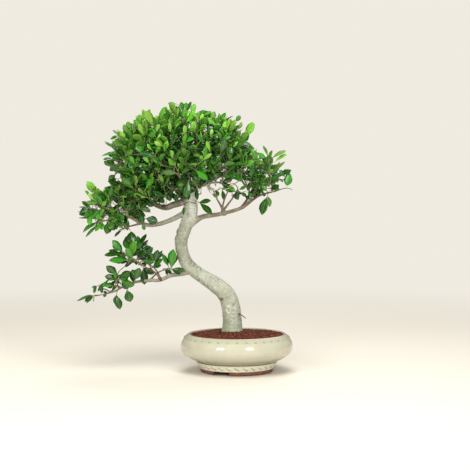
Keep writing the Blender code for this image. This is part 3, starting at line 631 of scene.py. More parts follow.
# %% Damp clay granules
def clay_soil(name, tone_from):
    """Red-brown fired clay: most grains mid-brown, some dark and wet, some dusty and pale."""
    material, recipe, surface = finish(name, IOR=1.4)
    place = recipe.place()
    tone = recipe.attribute(tone_from) if tone_from else recipe.noise(place, 330.0, 1.0)
    body = recipe.blend(recipe.ramp(tone, 0.15, 0.55), rgb(58, 27, 18), rgb(112, 60, 42))
    body = recipe.tint(body, recipe.ramp(tone, 0.80, 0.98), 0.75, rgb(162, 104, 82))
    damp = recipe.group(cloudy_tone, Vector=place, Scale=45.0, Spread=0.4)
    body = recipe.tint(body, damp, 0.35, rgb(62, 30, 22))
    recipe.feed(surface, "Base Color", body)
    recipe.feed(surface, "Roughness", recipe.ramp(damp, 0.0, 1.0, 0.92, 0.70))
    grit = recipe.group(fine_grain, Vector=place, Scale=1700.0, Pits=0.5)
    recipe.relief(surface, grit, 0.8, 0.0004)
    return material


soil = put_piece("soil_body", soil_mesh, clay_soil("packed_clay_soil", None))
granules = put_piece("soil_granules", granule_mesh, clay_soil("clay_granules", "tone"))
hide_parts("soil")

# %% [markdown]
# ## The trunk and its branches
# The trunk rises, swings to the left in a long lazy S and ends inside the crown. Its limbs are
# round tubes on smooth routes, which overlap where they fork. A Remesh modifier melts the tubes
# into one skin, a little smoothing rounds the forks, and then every point is moved along its
# normal by a few noises: long muscles, lumps, wrinkles inside the bends, knots, a ribbed flare at
# the foot and one healed scar.
# %% Routes of the limbs
# A route is a list of (x, y, z, diameter) in millimetres.
TRUNK_ROUTE = [
    (-11, 20, 46, 30), (-11, 20, 60, 44), (-11, 20, 76, 50), (-11, 20, 92, 47), (-11.5, 20, 120, 44),
    (-15.5, 19, 152, 43.5), (-25.5, 17, 177, 41.5), (-48, 13, 197, 38), (-84.5, 9, 221.2, 31),
    (-112.5, 6, 245, 30.5), (-125, 3, 274, 27.5), (-127.5, 1, 303, 30), (-118.5, 0, 331, 30),
    (-106.5, 0, 360, 31.5), (-105, 0, 387, 29), (-110, 2, 417.6, 23), (-119, 4, 455, 17.5), (-127, 4, 500, 12),
    (-123, 2, 545, 7.5),
]
# name: (how brown its bark is, route)
BRANCHES = {
    "lower_left": (0.02, [
        (-100, 6, 232, 12), (-126.4, 6, 224, 10.5), (-151.5, 2, 220.5, 9), (-176.7, -2, 210.3, 8.4),
        (-199.5, -5, 209.4, 7.8), (-231.5, -7, 206, 6.4), (-263.7, -7, 193.4, 5), (-284.6, -6, 183, 4.2),
        (-307.7, -5, 177.1, 3.2), (-330.9, -4, 172.4, 2.4)]),
    "low_cross": (0.90, [
        (-174.3, -4, 210.5, 5.5), (-187.6, -10, 228.2, 4.6), (-207.9, -14, 240, 4), (-223.6, -18, 250.6, 3.4),
        (-241.5, -22, 263.4, 2.8)]),
    "low_rise": (0.80, [
        (-199.5, -5, 210.6, 4.2), (-181.2, -2, 227.6, 3.6), (-162.9, 0, 234.4, 3), (-151.4, 0, 237.9, 2.6)]),
    "low_middle": (0.60, [
        (-270.7, -7, 190, 4), (-275.6, -14, 211.3, 3.4), (-269.6, -16, 230.9, 3), (-248.8, -18, 248.3, 2.6)]),
    "low_behind": (0.60, [
        (-174.3, -4, 210.5, 4.8), (-186.2, 4, 233, 3.8), (-207.4, 10, 251.1, 3.2), (-223.6, 12, 269.5, 2.6)]),
    "middle_left": (0.32, [
        (-110, 0, 370, 13), (-155.4, -10, 346.7, 11), (-196, -18, 337, 9.5), (-226, -20, 346, 7.5),
        (-256, -16, 362, 4.5)]),
    "middle_left_low": (0.80, [
        (-215, -19, 342, 5.2), (-241.4, -20, 335.3, 4.2), (-257.2, -22, 330.8, 3.4), (-270.9, -22, 324, 2.6)]),
    "dry_spur": (0.90, [
        (-4, 13, 134.5, 4.6), (5, 6, 131.5, 4), (14, -1, 126.8, 3), (21.5, -5, 121.5, 2.4)]),
    "upper_left": (0.95, [
        (-105, 0, 395, 15), (-143.2, 10, 383.9, 15), (-170, 22, 377, 13), (-212, 34, 394.5, 9),
        (-256, 40, 422, 4.5)]),
    "right": (0.62, [
        (-108, 0, 338, 15), (-78.2, 0, 355.7, 12), (-35.9, -6, 362.8, 9.5), (11.2, -10, 376.9, 8),
        (49.1, -6, 403.1, 5.5), (90, 2, 415, 3.5)]),
    "right_riser": (0.30, [
        (-27, -7, 360, 7), (-36.1, -12, 380.8, 5.2), (-45.2, -14, 396.8, 4.2), (-54.3, -16, 417.4, 3)]),
    "right_fork": (0.35, [
        (-33, -9, 368, 5.5), (-17.8, -8, 387.6, 4.8), (-6.3, -6, 403.6, 4), (2.8, -2, 421.9, 3)]),
    "right_front": (0.40, [
        (-34, -8, 366, 5.2), (-30, -28, 390, 4.5), (-18, -50, 420, 3.4)]),
    "right_outer": (0.50, [
        (14.3, -8, 377.5, 5.5), (30.2, -16, 394.6, 4.4), (43.8, -20, 417.4, 3.2)]),
    "right_tip": (0.50, [
        (86, 2, 413.5, 3.2), (105, 0, 420, 2.8), (118, -2, 421.5, 2.6), (129, -4, 417, 2.4)]),
    "right_back": (0.45, [
        (10.5, -10, 376, 7), (26, 20, 400, 5), (30, 48, 425, 3.5)]),
    "back": (0.50, [
        (-105, 2, 400, 13), (-96, 40, 425, 10), (-105, 85, 450, 5)]),
    "front": (0.55, [
        (-112, 2, 425, 11), (-125, -36, 445, 8.5), (-140, -80, 460, 4.5)]),
    "crown_left": (0.60, [
        (-117, 4, 445, 10), (-165, 6, 470, 8), (-220, 4, 495, 4.5)]),
    "crown_right": (0.55, [
        (-120, 4, 460, 10), (-75, 0, 490, 7.5), (-25, 4, 515, 4)]),
    "stub": (0.20, [
        (-24, 10, 166, 10), (-36, 1, 169, 8.8), (-43, -3, 170.5, 7)]),
}


def limb_frames(centres):
    """For each point of a route: its tangent, and two directions square to it and each other.

    The first is the tangent crossed with the axis that the whole limb follows least.
    """
    tangent = unit(np.gradient(centres, axis=-2))
    chord = np.abs(centres[..., -1, :] - centres[..., 0, :])
    least = np.eye(3)[np.argmin(chord, axis=-1)]
    side = unit(np.cross(tangent, least[..., None, :]))
    return tangent, side, np.cross(tangent, side)


def tubes(centres, radii, columns):
    """Closed round tubes: ring point = centre + radius * (cos(a) * side + sin(a) * up), with a
    going once round; one point closes each end. Takes one route or a stack of equal routes."""
    centres, radii = centres.reshape(-1, *centres.shape[-2:]), np.atleast_2d(radii)
    tangent, side, up = limb_frames(centres)
    a = full_turn(columns)
    circle = np.cos(a)[:, None] * side[:, :, None] + np.sin(a)[:, None] * up[:, :, None]
    rings = centres[:, :, None] + radii[:, :, None, None] * circle
    first = centres[:, :1] - tangent[:, :1] * radii[:, :1, None] * 0.5
    last = centres[:, -1:] + tangent[:, -1:] * radii[:, -1:, None] * 0.5
    points = np.concatenate((rings.reshape(len(centres), -1, 3), first, last), axis=1)
    faces = [repeat_faces(group, len(centres), points.shape[1]) for group in grid_faces(centres.shape[1], columns)]
    return points, faces


# %% The limbs melted into one skin
STEP, VOXEL, TRUNK_SIDES, LIMB_SIDES = 0.003, 0.0013, 40, 20
limbs = [(brown, smooth_line(np.array(route) / 1000, STEP, 3))
         for brown, route in ((0.0, TRUNK_ROUTE), *BRANCHES.values())]
groove_shade_then_tube_points, quads, fans, before = [], [], [], 0
for brown, route in limbs:
    collar = 0.35 * np.exp(-np.linspace(0, len(route) * STEP, len(route)) / 0.010) if brown else 0.0
    columns = LIMB_SIDES if brown else TRUNK_SIDES
    points, (sides, caps) = tubes(route[:, :3], route[:, 3] / 2 * (1 + collar), columns)
    groove_shade_then_tube_points.append(points.reshape(-1, 3))
    quads.append(sides + before)
    fans.append(caps + before)
    before += len(groove_shade_then_tube_points[-1])
rough = put_mesh("limbs", np.vstack(groove_shade_then_tube_points) + AXIS, np.vstack(quads), np.vstack(fans))
trunk_mesh = apply_modifiers(
    rough, "trunk_bark",
    ("REMESH", {"mode": "VOXEL", "voxel_size": VOXEL, "adaptivity": 0.0}),
    ("SMOOTH", {"factor": 0.5, "iterations": 5}))
trunk_mesh.shade_smooth()
print("limbs", len(limbs), "points", before, "skin", len(trunk_mesh.vertices), "points")

# %% [markdown]
# To carve the bark, each point of the skin has to know its limb: how far along it is, on which
# side, and how thick the limb is there. A table of distances to all route points gives the nearest.
# %% Nearest limb for every point
# The shift keeps the bark pattern of one limb from going on in the next.
LIMB_SHIFT, AT_A_TIME = 0.7, 6000
centres = np.vstack([route[:, :3] for _, route in limbs])
thick = np.concatenate([route[:, 3] / 2 for _, route in limbs])
along = np.concatenate([STEP * np.arange(len(route)) + LIMB_SHIFT * number
                        for number, (_, route) in enumerate(limbs)])
brown_of = np.concatenate([np.full(len(route), brown) for brown, route in limbs])
frames = [limb_frames(route[:, :3]) for _, route in limbs]
tangents, side_of, up_of = (np.vstack([frame_set[k] for frame_set in frames]) for k in range(3))
bends = np.vstack([np.gradient(unit(np.gradient(route[:, :3], axis=0)), STEP, axis=0) for _, route in limbs])


def nearest_limb(spots):
    """Index of the route point whose limb surface is nearest to each spot."""
    near = np.empty(len(spots), dtype=int)
    for part in np.array_split(np.arange(len(spots)), max(1, len(spots) // AT_A_TIME)):
        away = np.linalg.norm(spots[part, None] - centres[None], axis=2) - thick[None]
        near[part] = np.argmin(away, axis=1)
    return near


skin = points_of(trunk_mesh) - AXIS
near = nearest_limb(skin)
offset = skin - centres[near]
aside = np.sum(offset * side_of[near], axis=1)
above = np.sum(offset * up_of[near], axis=1)
ahead = along[near] + np.sum(offset * tangents[near], axis=1)
thickness = thick[near]
inner_bend = np.clip(np.sum(unit(offset) * bends[near], axis=1) * thickness, 0, 1)
print("thickest limb", (2000 * thickness.max()).round(1), "mm, strongest bend", inner_bend.max().round(2))

# %% Bark relief
SCAR = np.array([-0.0193, -0.003, 0.1415])
# Each knot is (x, z, radius, height) in metres and how dark its rim is.
KNOTS = np.array([
    (-0.1400, 0.3250, 0.0075, 0.0022, 0.9), (-0.1440, 0.3060, 0.0060, 0.0010, 0.6),
    (-0.1005, 0.2480, 0.0050, 0.0018, 1.0), (-0.0710, 0.1960, 0.0032, 0.0012, 0.7),
    (-0.0500, 0.1670, 0.0048, 0.0026, 1.0), (-0.0870, 0.2360, 0.0055, 0.0014, 0.6),
    (-0.1170, 0.3800, 0.0050, 0.0014, 0.6), (-0.0940, 0.2230, 0.0040, 0.0010, 0.5),
    (-0.1330, 0.2640, 0.0060, 0.0012, 0.7), (-0.0080, 0.1820, 0.0040, 0.0009, 0.4),
    (-0.1230, 0.3500, 0.0040, 0.0010, 0.5)])
# The first three heights are shares of the limb's radius, the others are in metres.
MUSCLE, LUMP, SMALL_LUMP = 0.055, 0.045, 0.020
RIPPLE, CREASE, FLARE, CALLUS, WOUND = 0.00030, 0.0011, 0.0012, 0.0013, 0.0010
grain = np.column_stack((aside, above, ahead))
on_trunk = near < len(limbs[0][1])


def scar_distance(spots):
    """1 on the rim of the healed oval wound and less inside it; it is 8.4 mm wide and 16 mm tall."""
    flat = (spots - SCAR) / np.array([0.0042, 0.030, 0.0080])
    return np.linalg.norm(flat, axis=1)


stout = bump(thickness, 0.002, 0.012)
muscle = smooth_noise(grain * (1, 1, 0.16), 0.011, 31) * MUSCLE * thickness
lump = smooth_noise(skin, 0.021, 32) * LUMP * thickness + smooth_noise(skin, 0.009, 33) * SMALL_LUMP * thickness
ripple = smooth_noise(grain * (0.28, 0.28, 1), 0.0042, 34) * RIPPLE * stout
crease = -CREASE * inner_bend * bump(smooth_noise(grain * (0.3, 0.3, 1), 0.0065, 35), 0.0, 0.7) * stout
ribs_round = 0.6 + 0.7 * np.cos(4 * np.arctan2(above, aside) + 0.6)
flare = FLARE * bump(-skin[:, 2], -0.112, -0.078) * ribs_round * on_trunk
from_scar = scar_distance(skin)
callus = CALLUS * np.exp(-((from_scar - 1.0) / 0.22) ** 2) - WOUND * bump(-from_scar, -0.85, -0.4)
knot, dark_knot_rims = np.zeros(len(skin)), np.zeros(len(skin))
for knot_x, knot_z, size, height, dark in KNOTS:
    from_knot = np.hypot(skin[:, 0] - knot_x, skin[:, 2] - knot_z) / size
    knot += height * (np.exp(-(from_knot / 0.7) ** 2) - 0.35 * np.exp(-((from_knot - 1.25) / 0.35) ** 2))
    dark_knot_rims += dark * np.exp(-((from_knot - 1.0) / 0.45) ** 2)
moved = muscle + lump + ripple + crease + flare + callus + knot
trunk_normals = points_of(trunk_mesh, "normal").copy()
trunk_mesh.vertices.foreach_set("co", (skin + AXIS + trunk_normals * moved[:, None]).astype(np.float32).ravel())
trunk_mesh.update()
mark(trunk_mesh, "grain", grain)
mark(trunk_mesh, "stout", bump(thickness, 0.0015, 0.0080))
mark(trunk_mesh, "brown", brown_of[near] * bump(-thickness, -0.012, -0.004))
mark(trunk_mesh, "scar", np.exp(-((from_scar - 0.95) / 0.28) ** 2))
# Painted shade: one length of the trunk is darkened, most on its left side, and so are the undersides of the limbs;
# the knot rims and a faint random blotching are darkened as well.
shaded_length = bump(skin[:, 2], 0.235, 0.262) * bump(-skin[:, 2], -0.372, -0.335) * on_trunk
leftward = np.clip(-trunk_normals[:, 0] * 0.8 - trunk_normals[:, 2] * 0.4, 0, 1)
underneath = bump(-trunk_normals[:, 2], 0.15, 0.75) * bump(skin[:, 2], 0.15, 0.17)
painted_shade_and_dark_patches = shaded_length * (0.72 + 0.66 * leftward) + 0.7 * underneath
lichen = bump(skin[:, 2], 0.325, 0.350) * (0.45 + 0.55 * bump(trunk_normals[:, 0], -0.6, 0.3))
mark(trunk_mesh, "lichen", lichen * on_trunk)
mark(trunk_mesh, "painted_shade_and_dark_patches", np.clip(painted_shade_and_dark_patches + dark_knot_rims + 0.25 * smooth_noise(skin, 0.012, 36), 0, 1))
# Painted shade: darker inside the bends and in the hollows of the relief.
mark(trunk_mesh, "crease", np.clip(inner_bend * 1.4 + np.clip(-(muscle + lump) / 0.0016, 0, 1) * 0.5, 0, 1))
mossy = bump(-skin[:, 2], -0.150, -0.082) * bump(-skin[:, 0], -0.012, 0.022) * on_trunk
mark(trunk_mesh, "moss", mossy)
mark(trunk_mesh, "fresh", np.zeros(len(skin)))
print("relief from", (1000 * moved.min()).round(2), "to", (1000 * moved.max()).round(2), "mm")

# %% [markdown]
# Ficus bark is thin and smooth: pale grey with a green undertone, crossed by fine raised pores
# that run round the limb, and by faint long streaks. Young wood is browner. The pattern reads the
# `grain` mark, whose third number runs along the limb, so lines turn with every bend.
# %% Pale bark
# Marks whose colours go over all others, in this order: (mark, share, colour). The crease colour is painted shade,
# inside the bends and in the hollows of the relief.
LAST_TINTS = (("fresh", 0.80, (124, 130, 66)), ("crease", 0.55, (120, 108, 82)),
              ("moss", 0.45, (150, 166, 118)), ("scar", 0.75, (234, 231, 218)))


def bark(name, pore_scale):
    """Bark that follows the limb: streaks along it, pores across it, browner where it is thin."""
    material, recipe, surface = finish(name, IOR=1.42)
    place = recipe.place()
    grain = recipe.attribute("grain", "Vector")
    long_lines = recipe.stretched(grain, (1.0, 1.0, 0.14))
    cross_lines = recipe.stretched(grain, (0.22, 0.22, 1.0))
    cloud = recipe.group(cloudy_tone, Vector=place, Scale=38.0, Spread=0.5)
    body = recipe.blend(cloud, rgb(170, 173, 156), rgb(196, 198, 182))
    streak = recipe.group(cloudy_tone, Vector=long_lines, Scale=240.0, Spread=0.35)
    body = recipe.tint(body, streak, 0.35, rgb(150, 154, 134))
    green = recipe.group(cloudy_tone, Vector=place, Scale=60.0, Spread=0.3)
    body = recipe.tint(body, green, 0.30, rgb(158, 174, 138))
    patchy = recipe.ramp(cloud, 0.0, 1.0, 0.75, 0.50)
    # Painted shade and dark patches: one length of the trunk, most on its left, the undersides of limbs, the knot
    # rims and random blotches.
    body = recipe.tint(body, recipe.attribute("painted_shade_and_dark_patches"), patchy, rgb(112, 114, 94))
    body = recipe.tint(body, recipe.attribute("lichen"), 0.60, rgb(220, 222, 212))
    flakes = recipe.ramp(recipe.noise(place, 380.0, 4.0, 0.65), 0.52, 0.62)
    body = recipe.tint(body, flakes, 0.68, rgb(222, 224, 212))
    stains = recipe.ramp(recipe.noise(cross_lines, 300.0, 4.0, 0.65), 0.54, 0.66)
    body = recipe.tint(body, stains, 0.70, rgb(120, 122, 102))
    pores = recipe.ramp(recipe.noise(cross_lines, pore_scale, 2.0), 0.58, 0.68)
    body = recipe.tint(body, pores, 0.40, rgb(150, 140, 112))
    young = recipe.math("SUBTRACT", 1.0, recipe.attribute("stout"))
    woody = recipe.blend(cloud, rgb(82, 54, 38), rgb(122, 90, 64))
    body = recipe.tint(body, young, 0.75, woody)
    dark = recipe.blend(streak, rgb(74, 54, 42), rgb(112, 90, 70))
    patches = recipe.ramp(recipe.noise(place, 75.0, 3.0), 0.38, 0.60, 0.35, 1.10)
    body = recipe.tint(body, recipe.attribute("brown"), patches, dark)
    for name, share, colour in LAST_TINTS:
        body = recipe.tint(body, recipe.attribute(name), share, rgb(*colour))
    recipe.feed(surface, "Base Color", body)
    recipe.feed(surface, "Roughness", recipe.ramp(cloud, 0.0, 1.0, 0.58, 0.74))
    rough = recipe.group(fine_grain, Vector=cross_lines, Scale=900.0, Pits=0.3)
    height = recipe.math("ADD", recipe.math("MULTIPLY", pores, 0.6), rough)
    height = recipe.math("ADD", height, recipe.math("MULTIPLY", streak, -0.5))
    recipe.relief(surface, height, 0.7, 0.0005)
    return material


trunk = put_piece("trunk_bark", trunk_mesh, bark("pale_fig_bark", 420.0))
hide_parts("trunk")

# %% [markdown]
# ## Where the leafy shoots are
# Clipping keeps the leaves in a cushion. Its outline from the front is a list of corners; from
# the side it is rounded, so the cushion is as deep as a circle drawn inside the outline would be.
# Shoot tips are spread through its outer layer, evenly, by taking random places in turn and
# keeping each that is far enough from those already kept.
# %% The cushion of leaves
OUTLINE = np.array([
    (-312, 492), (-302, 516), (-292, 536), (-280, 554), (-252, 574), (-233, 588), (-214, 604), (-200, 600),
    (-184, 599), (-164, 611), (-154, 621), (-127, 624), (-99, 619), (-60, 607), (-30, 600), (4, 586), (31, 577),
    (31, 552), (23, 542), (27, 524), (50, 512), (78, 506), (107, 514), (111, 487), (106, 470), (127, 463),
    (132, 448), (122, 430), (100, 412), (20, 404), (-10, 424), (-45, 436), (-75, 430), (-98, 402), (-128, 398),
    (-155, 400), (-180, 397), (-200, 386), (-203, 360), (-222, 340), (-250, 322), (-290, 322), (-330, 316),
    (-350, 334), (-360, 372), (-350, 404), (-347, 434), (-336, 440), (-292, 428), (-272, 447), (-284, 468),
]) / 1000
DEEPEST, ROUND_TO = 0.128, 0.105
SEARCH_LOW, SEARCH_HIGH = (-0.37, -0.13, 0.30), (0.14, 0.134, 0.63)
CLUMP_SIZE, OUTER_GAP, INNER_GAP = 0.050, 0.0245, 0.036


def edge_distance(x, z):
    """Distance to the nearest side of the outline, positive inside it.

    A spot is inside when a ray to the right crosses the outline an odd number of times.
    """
    spot = np.column_stack((x, z))[:, None]
    a, b = OUTLINE[None], np.roll(OUTLINE, -1, axis=0)[None]
    share = share_of_segment(spot, a, b)
    away = np.linalg.norm(spot - a - share[..., None] * (b - a), axis=2).min(axis=1)
    rises = (a[..., 1] > spot[..., 1]) != (b[..., 1] > spot[..., 1])
    crossing = a[..., 0] + (spot[..., 1] - a[..., 1]) / (b[..., 1] - a[..., 1] + 1e-12) * (b[..., 0] - a[..., 0])
    inside = np.sum(rises & (spot[..., 0] < crossing), axis=1) % 2 == 1
    return np.where(inside, away, -away)


def half_depth(x, z):
    """Half the cushion's depth: the height of a circle's arc over a chord point at that distance
    from the edge, sqrt(d (2R - d)), stretched to the deepest value."""
    d = np.clip(edge_distance(x, z), 0, ROUND_TO)
    return DEEPEST * np.sqrt(d * (2 * ROUND_TO - d)) / ROUND_TO


def under_skin(spots):
    """How far a spot is below the cushion's surface."""
    d = edge_distance(spots[:, 0], spots[:, 2])
    return np.minimum(d, half_depth(spots[:, 0], spots[:, 2]) - np.abs(spots[:, 1] - 0.002))


def spread_out(candidates, gap, kept):
    """Takes candidates in turn and keeps each that is at least `gap` from all kept ones."""
    for spot in candidates:
        if len(kept) == 0 or np.min(np.linalg.norm(np.asarray(kept) - spot, axis=1)) >= gap:
            kept.append(spot)
    return kept


rng = np.random.default_rng(5)
candidates = rng.uniform(SEARCH_LOW, SEARCH_HIGH, (60000, 3))
clumps = smooth_noise(candidates, CLUMP_SIZE, 41)
below = under_skin(candidates) - 0.003 + 0.012 * clumps + 0.005 * smooth_noise(candidates, 0.026, 44)
open_right = bump(candidates[:, 0], -0.095, -0.060) * bump(-candidates[:, 2], -0.490, -0.440)
open_left = bump(-candidates[:, 0], 0.200, 0.235) * bump(-candidates[:, 2], -0.440, -0.400)
bare_below = -0.52 + 0.80 * open_right + 0.42 * open_left
below = np.where(clumps + 0.5 * smooth_noise(candidates, 0.021, 42) < bare_below, 0.0, below)
skin_layer = candidates[(below > 0.018) & (below < 0.032)]
inner_layer = candidates[(below > 0.040) & (below < 0.075) & (np.maximum(open_right, open_left) < 0.3)]
tips = spread_out(skin_layer[:9000], OUTER_GAP, [])
outer_count = len(tips)
tips = np.array(spread_out(inner_layer[:3000], INNER_GAP, tips))
print(outer_count, "outer shoots and", len(tips) - outer_count, "inner ones")

# %% Directions and lengths of the shoots
CROWN, RIGHT_PAD, LEFT_PAD, LOW_BRANCH = range(4)
HEART = np.array([(-0.300, 0.0, 0.375), (-0.215, 0.0, 0.400), (-0.130, 0.0, 0.440), (-0.040, 0.0, 0.440),
                  (0.070, 0.0, 0.430)])


def growing_direction(spots, rng):
    """Outwards from the nearest point of a line through the heart of the cushion, and upwards."""
    a, b = HEART[:-1][None], HEART[1:][None]
    share = share_of_segment(spots[:, None], a, b)
    feet = a + share[..., None] * (b - a)
    nearest = np.argmin(np.linalg.norm(spots[:, None] - feet, axis=2), axis=1)
    out = unit(spots - feet[np.arange(len(spots)), nearest])
    return unit(out + (0.0, 0.0, 0.35) + 0.30 * rng.normal(size=spots.shape))


def mass_at(spots):
    """The mass of leaves that a place belongs to."""
    mass = np.where((spots[:, 0] > -0.02) & (spots[:, 2] < 0.50), RIGHT_PAD, CROWN)
    return np.where((spots[:, 0] < -0.205) & (spots[:, 2] < 0.445), LEFT_PAD, mass)


heading = growing_direction(tips, rng)
tips = tips - heading * 0.010
leafy_length = rng.uniform(0.034, 0.050, len(tips))
mass_of = mass_at(tips)
print("shoots in crown, right pad, left pad:", np.bincount(mass_of))

# %% [markdown]
# Some leaves stand alone where the eye can count them: all those on the lowest branch, and those
# that break the outline or stand at the front of the crown and the pads. Each of these is listed in
# millimetres: its foot (x, y, z), its point (x, y, z), the width seen from the front, and its youth
# from 0 to 100. The stalk is a share of a leaf's length, and the spur that carries a single leaf is
# in metres.
# %% Leaves placed one by one
STALK, SPUR = 0.13, 0.004
LOW_LEAVES = np.array([
    (-240, -18, 280, -242, -12, 324, 23, 35), (-240, -38, 265, -233, -46, 304, 18, 85),
    (-243, -28, 276, -257, -24, 305, 14, 40), (-237, -42, 264, -250, -52, 287, 14, 65),
    (-262, -25, 278, -282, -31, 304, 14, 60), (-265, -20, 269, -304, -16, 271, 10, 45),
    (-252, -32, 258, -290, -40, 261, 14, 72), (-223, 2, 286, -211, 12, 318, 11, 42),
    (-227, -8, 275, -225, 0, 302, 14, 30), (-221, 10, 283, -206, 20, 304, 9, 30),
    (-218, 5, 281, -198, 13, 290, 8, 25), (-215, -5, 266, -193, -1, 286, 14, 20),
    (-224, -12, 262, -208, -16, 280, 11, 10), (-217, -18, 257, -189, -24, 253, 14, 30),
    (-223, 0, 245, -207, 10, 246, 9, 20), (-188, -2, 252, -181, -8, 280, 15, 10),
    (-182, 5, 256, -173, 11, 279, 7, 30), (-193, 0, 240, -172, -8, 261, 11, 25),
    (-158, 2, 242, -170, -2, 270, 10, 30), (-151, -5, 238, -147, -13, 282, 18, 55),
    (-151, -5, 236, -118, -17, 234, 9, 40), (-161, 5, 235, -150, 11, 223, 8, 15),
    (-166, 10, 233, -159, 16, 221, 6, 20), (-150, 10, 239, -138, 16, 269, 9, 10),
    (-227, -10, 250, -247, -16, 260, 9, 25), (-250, -8, 252, -269, -2, 252, 7, 20),
    (-274, -20, 225, -298, -26, 244, 16, 25), (-273, -25, 214, -300, -35, 222, 13, 42),
    (-272, -18, 212, -244, -24, 233, 14, 30), (-233, -20, 212, -221, -28, 240, 18, 48),
    (-236, -10, 202, -243, -10, 229, 9, 5), (-215, -5, 238, -211, -11, 200, 16, 2),
    (-264, -25, 210, -236, -35, 199, 16, 60), (-268, -30, 215, -252, -36, 215, 7, 70),
    (-275, -30, 213, -277, -34, 233, 7, 65), (-277, -12, 209, -291, -8, 197, 8, 10),
    (-292, -18, 212, -320, -22, 187, 7, 35), (-285, -22, 198, -307, -28, 203, 10, 70),
    (-321, -12, 196, -330, -12, 181, 7, 30), (-312, -15, 198, -308, -19, 181, 7, 30),
    (-282, -5, 197, -299, 1, 194, 7, 15), (-275, -8, 195, -289, -4, 187, 7, 30),
    (-252, -10, 188, -244, -16, 161, 20, 30), (-277, -5, 176, -268, -9, 143, 16, 42),
    (-298, -5, 181, -308, -1, 171, 7, 20), (-331, -5, 173, -351, -9, 163, 8, 10),
    (-331, -2, 173, -371, 2, 166, 4, 35), (-328, -8, 172, -346, -14, 158, 4, 50),
    (-233, 18, 274, -209, 28, 273, 11, 20), (-239, 8, 251, -261, 18, 241, 9, 20),
    (-269, 5, 201, -287, 15, 218, 9, 20), (-251, 8, 200, -261, 18, 218, 9, 25),
    (-210, 15, 251, -229, 25, 269, 11, 20),
])
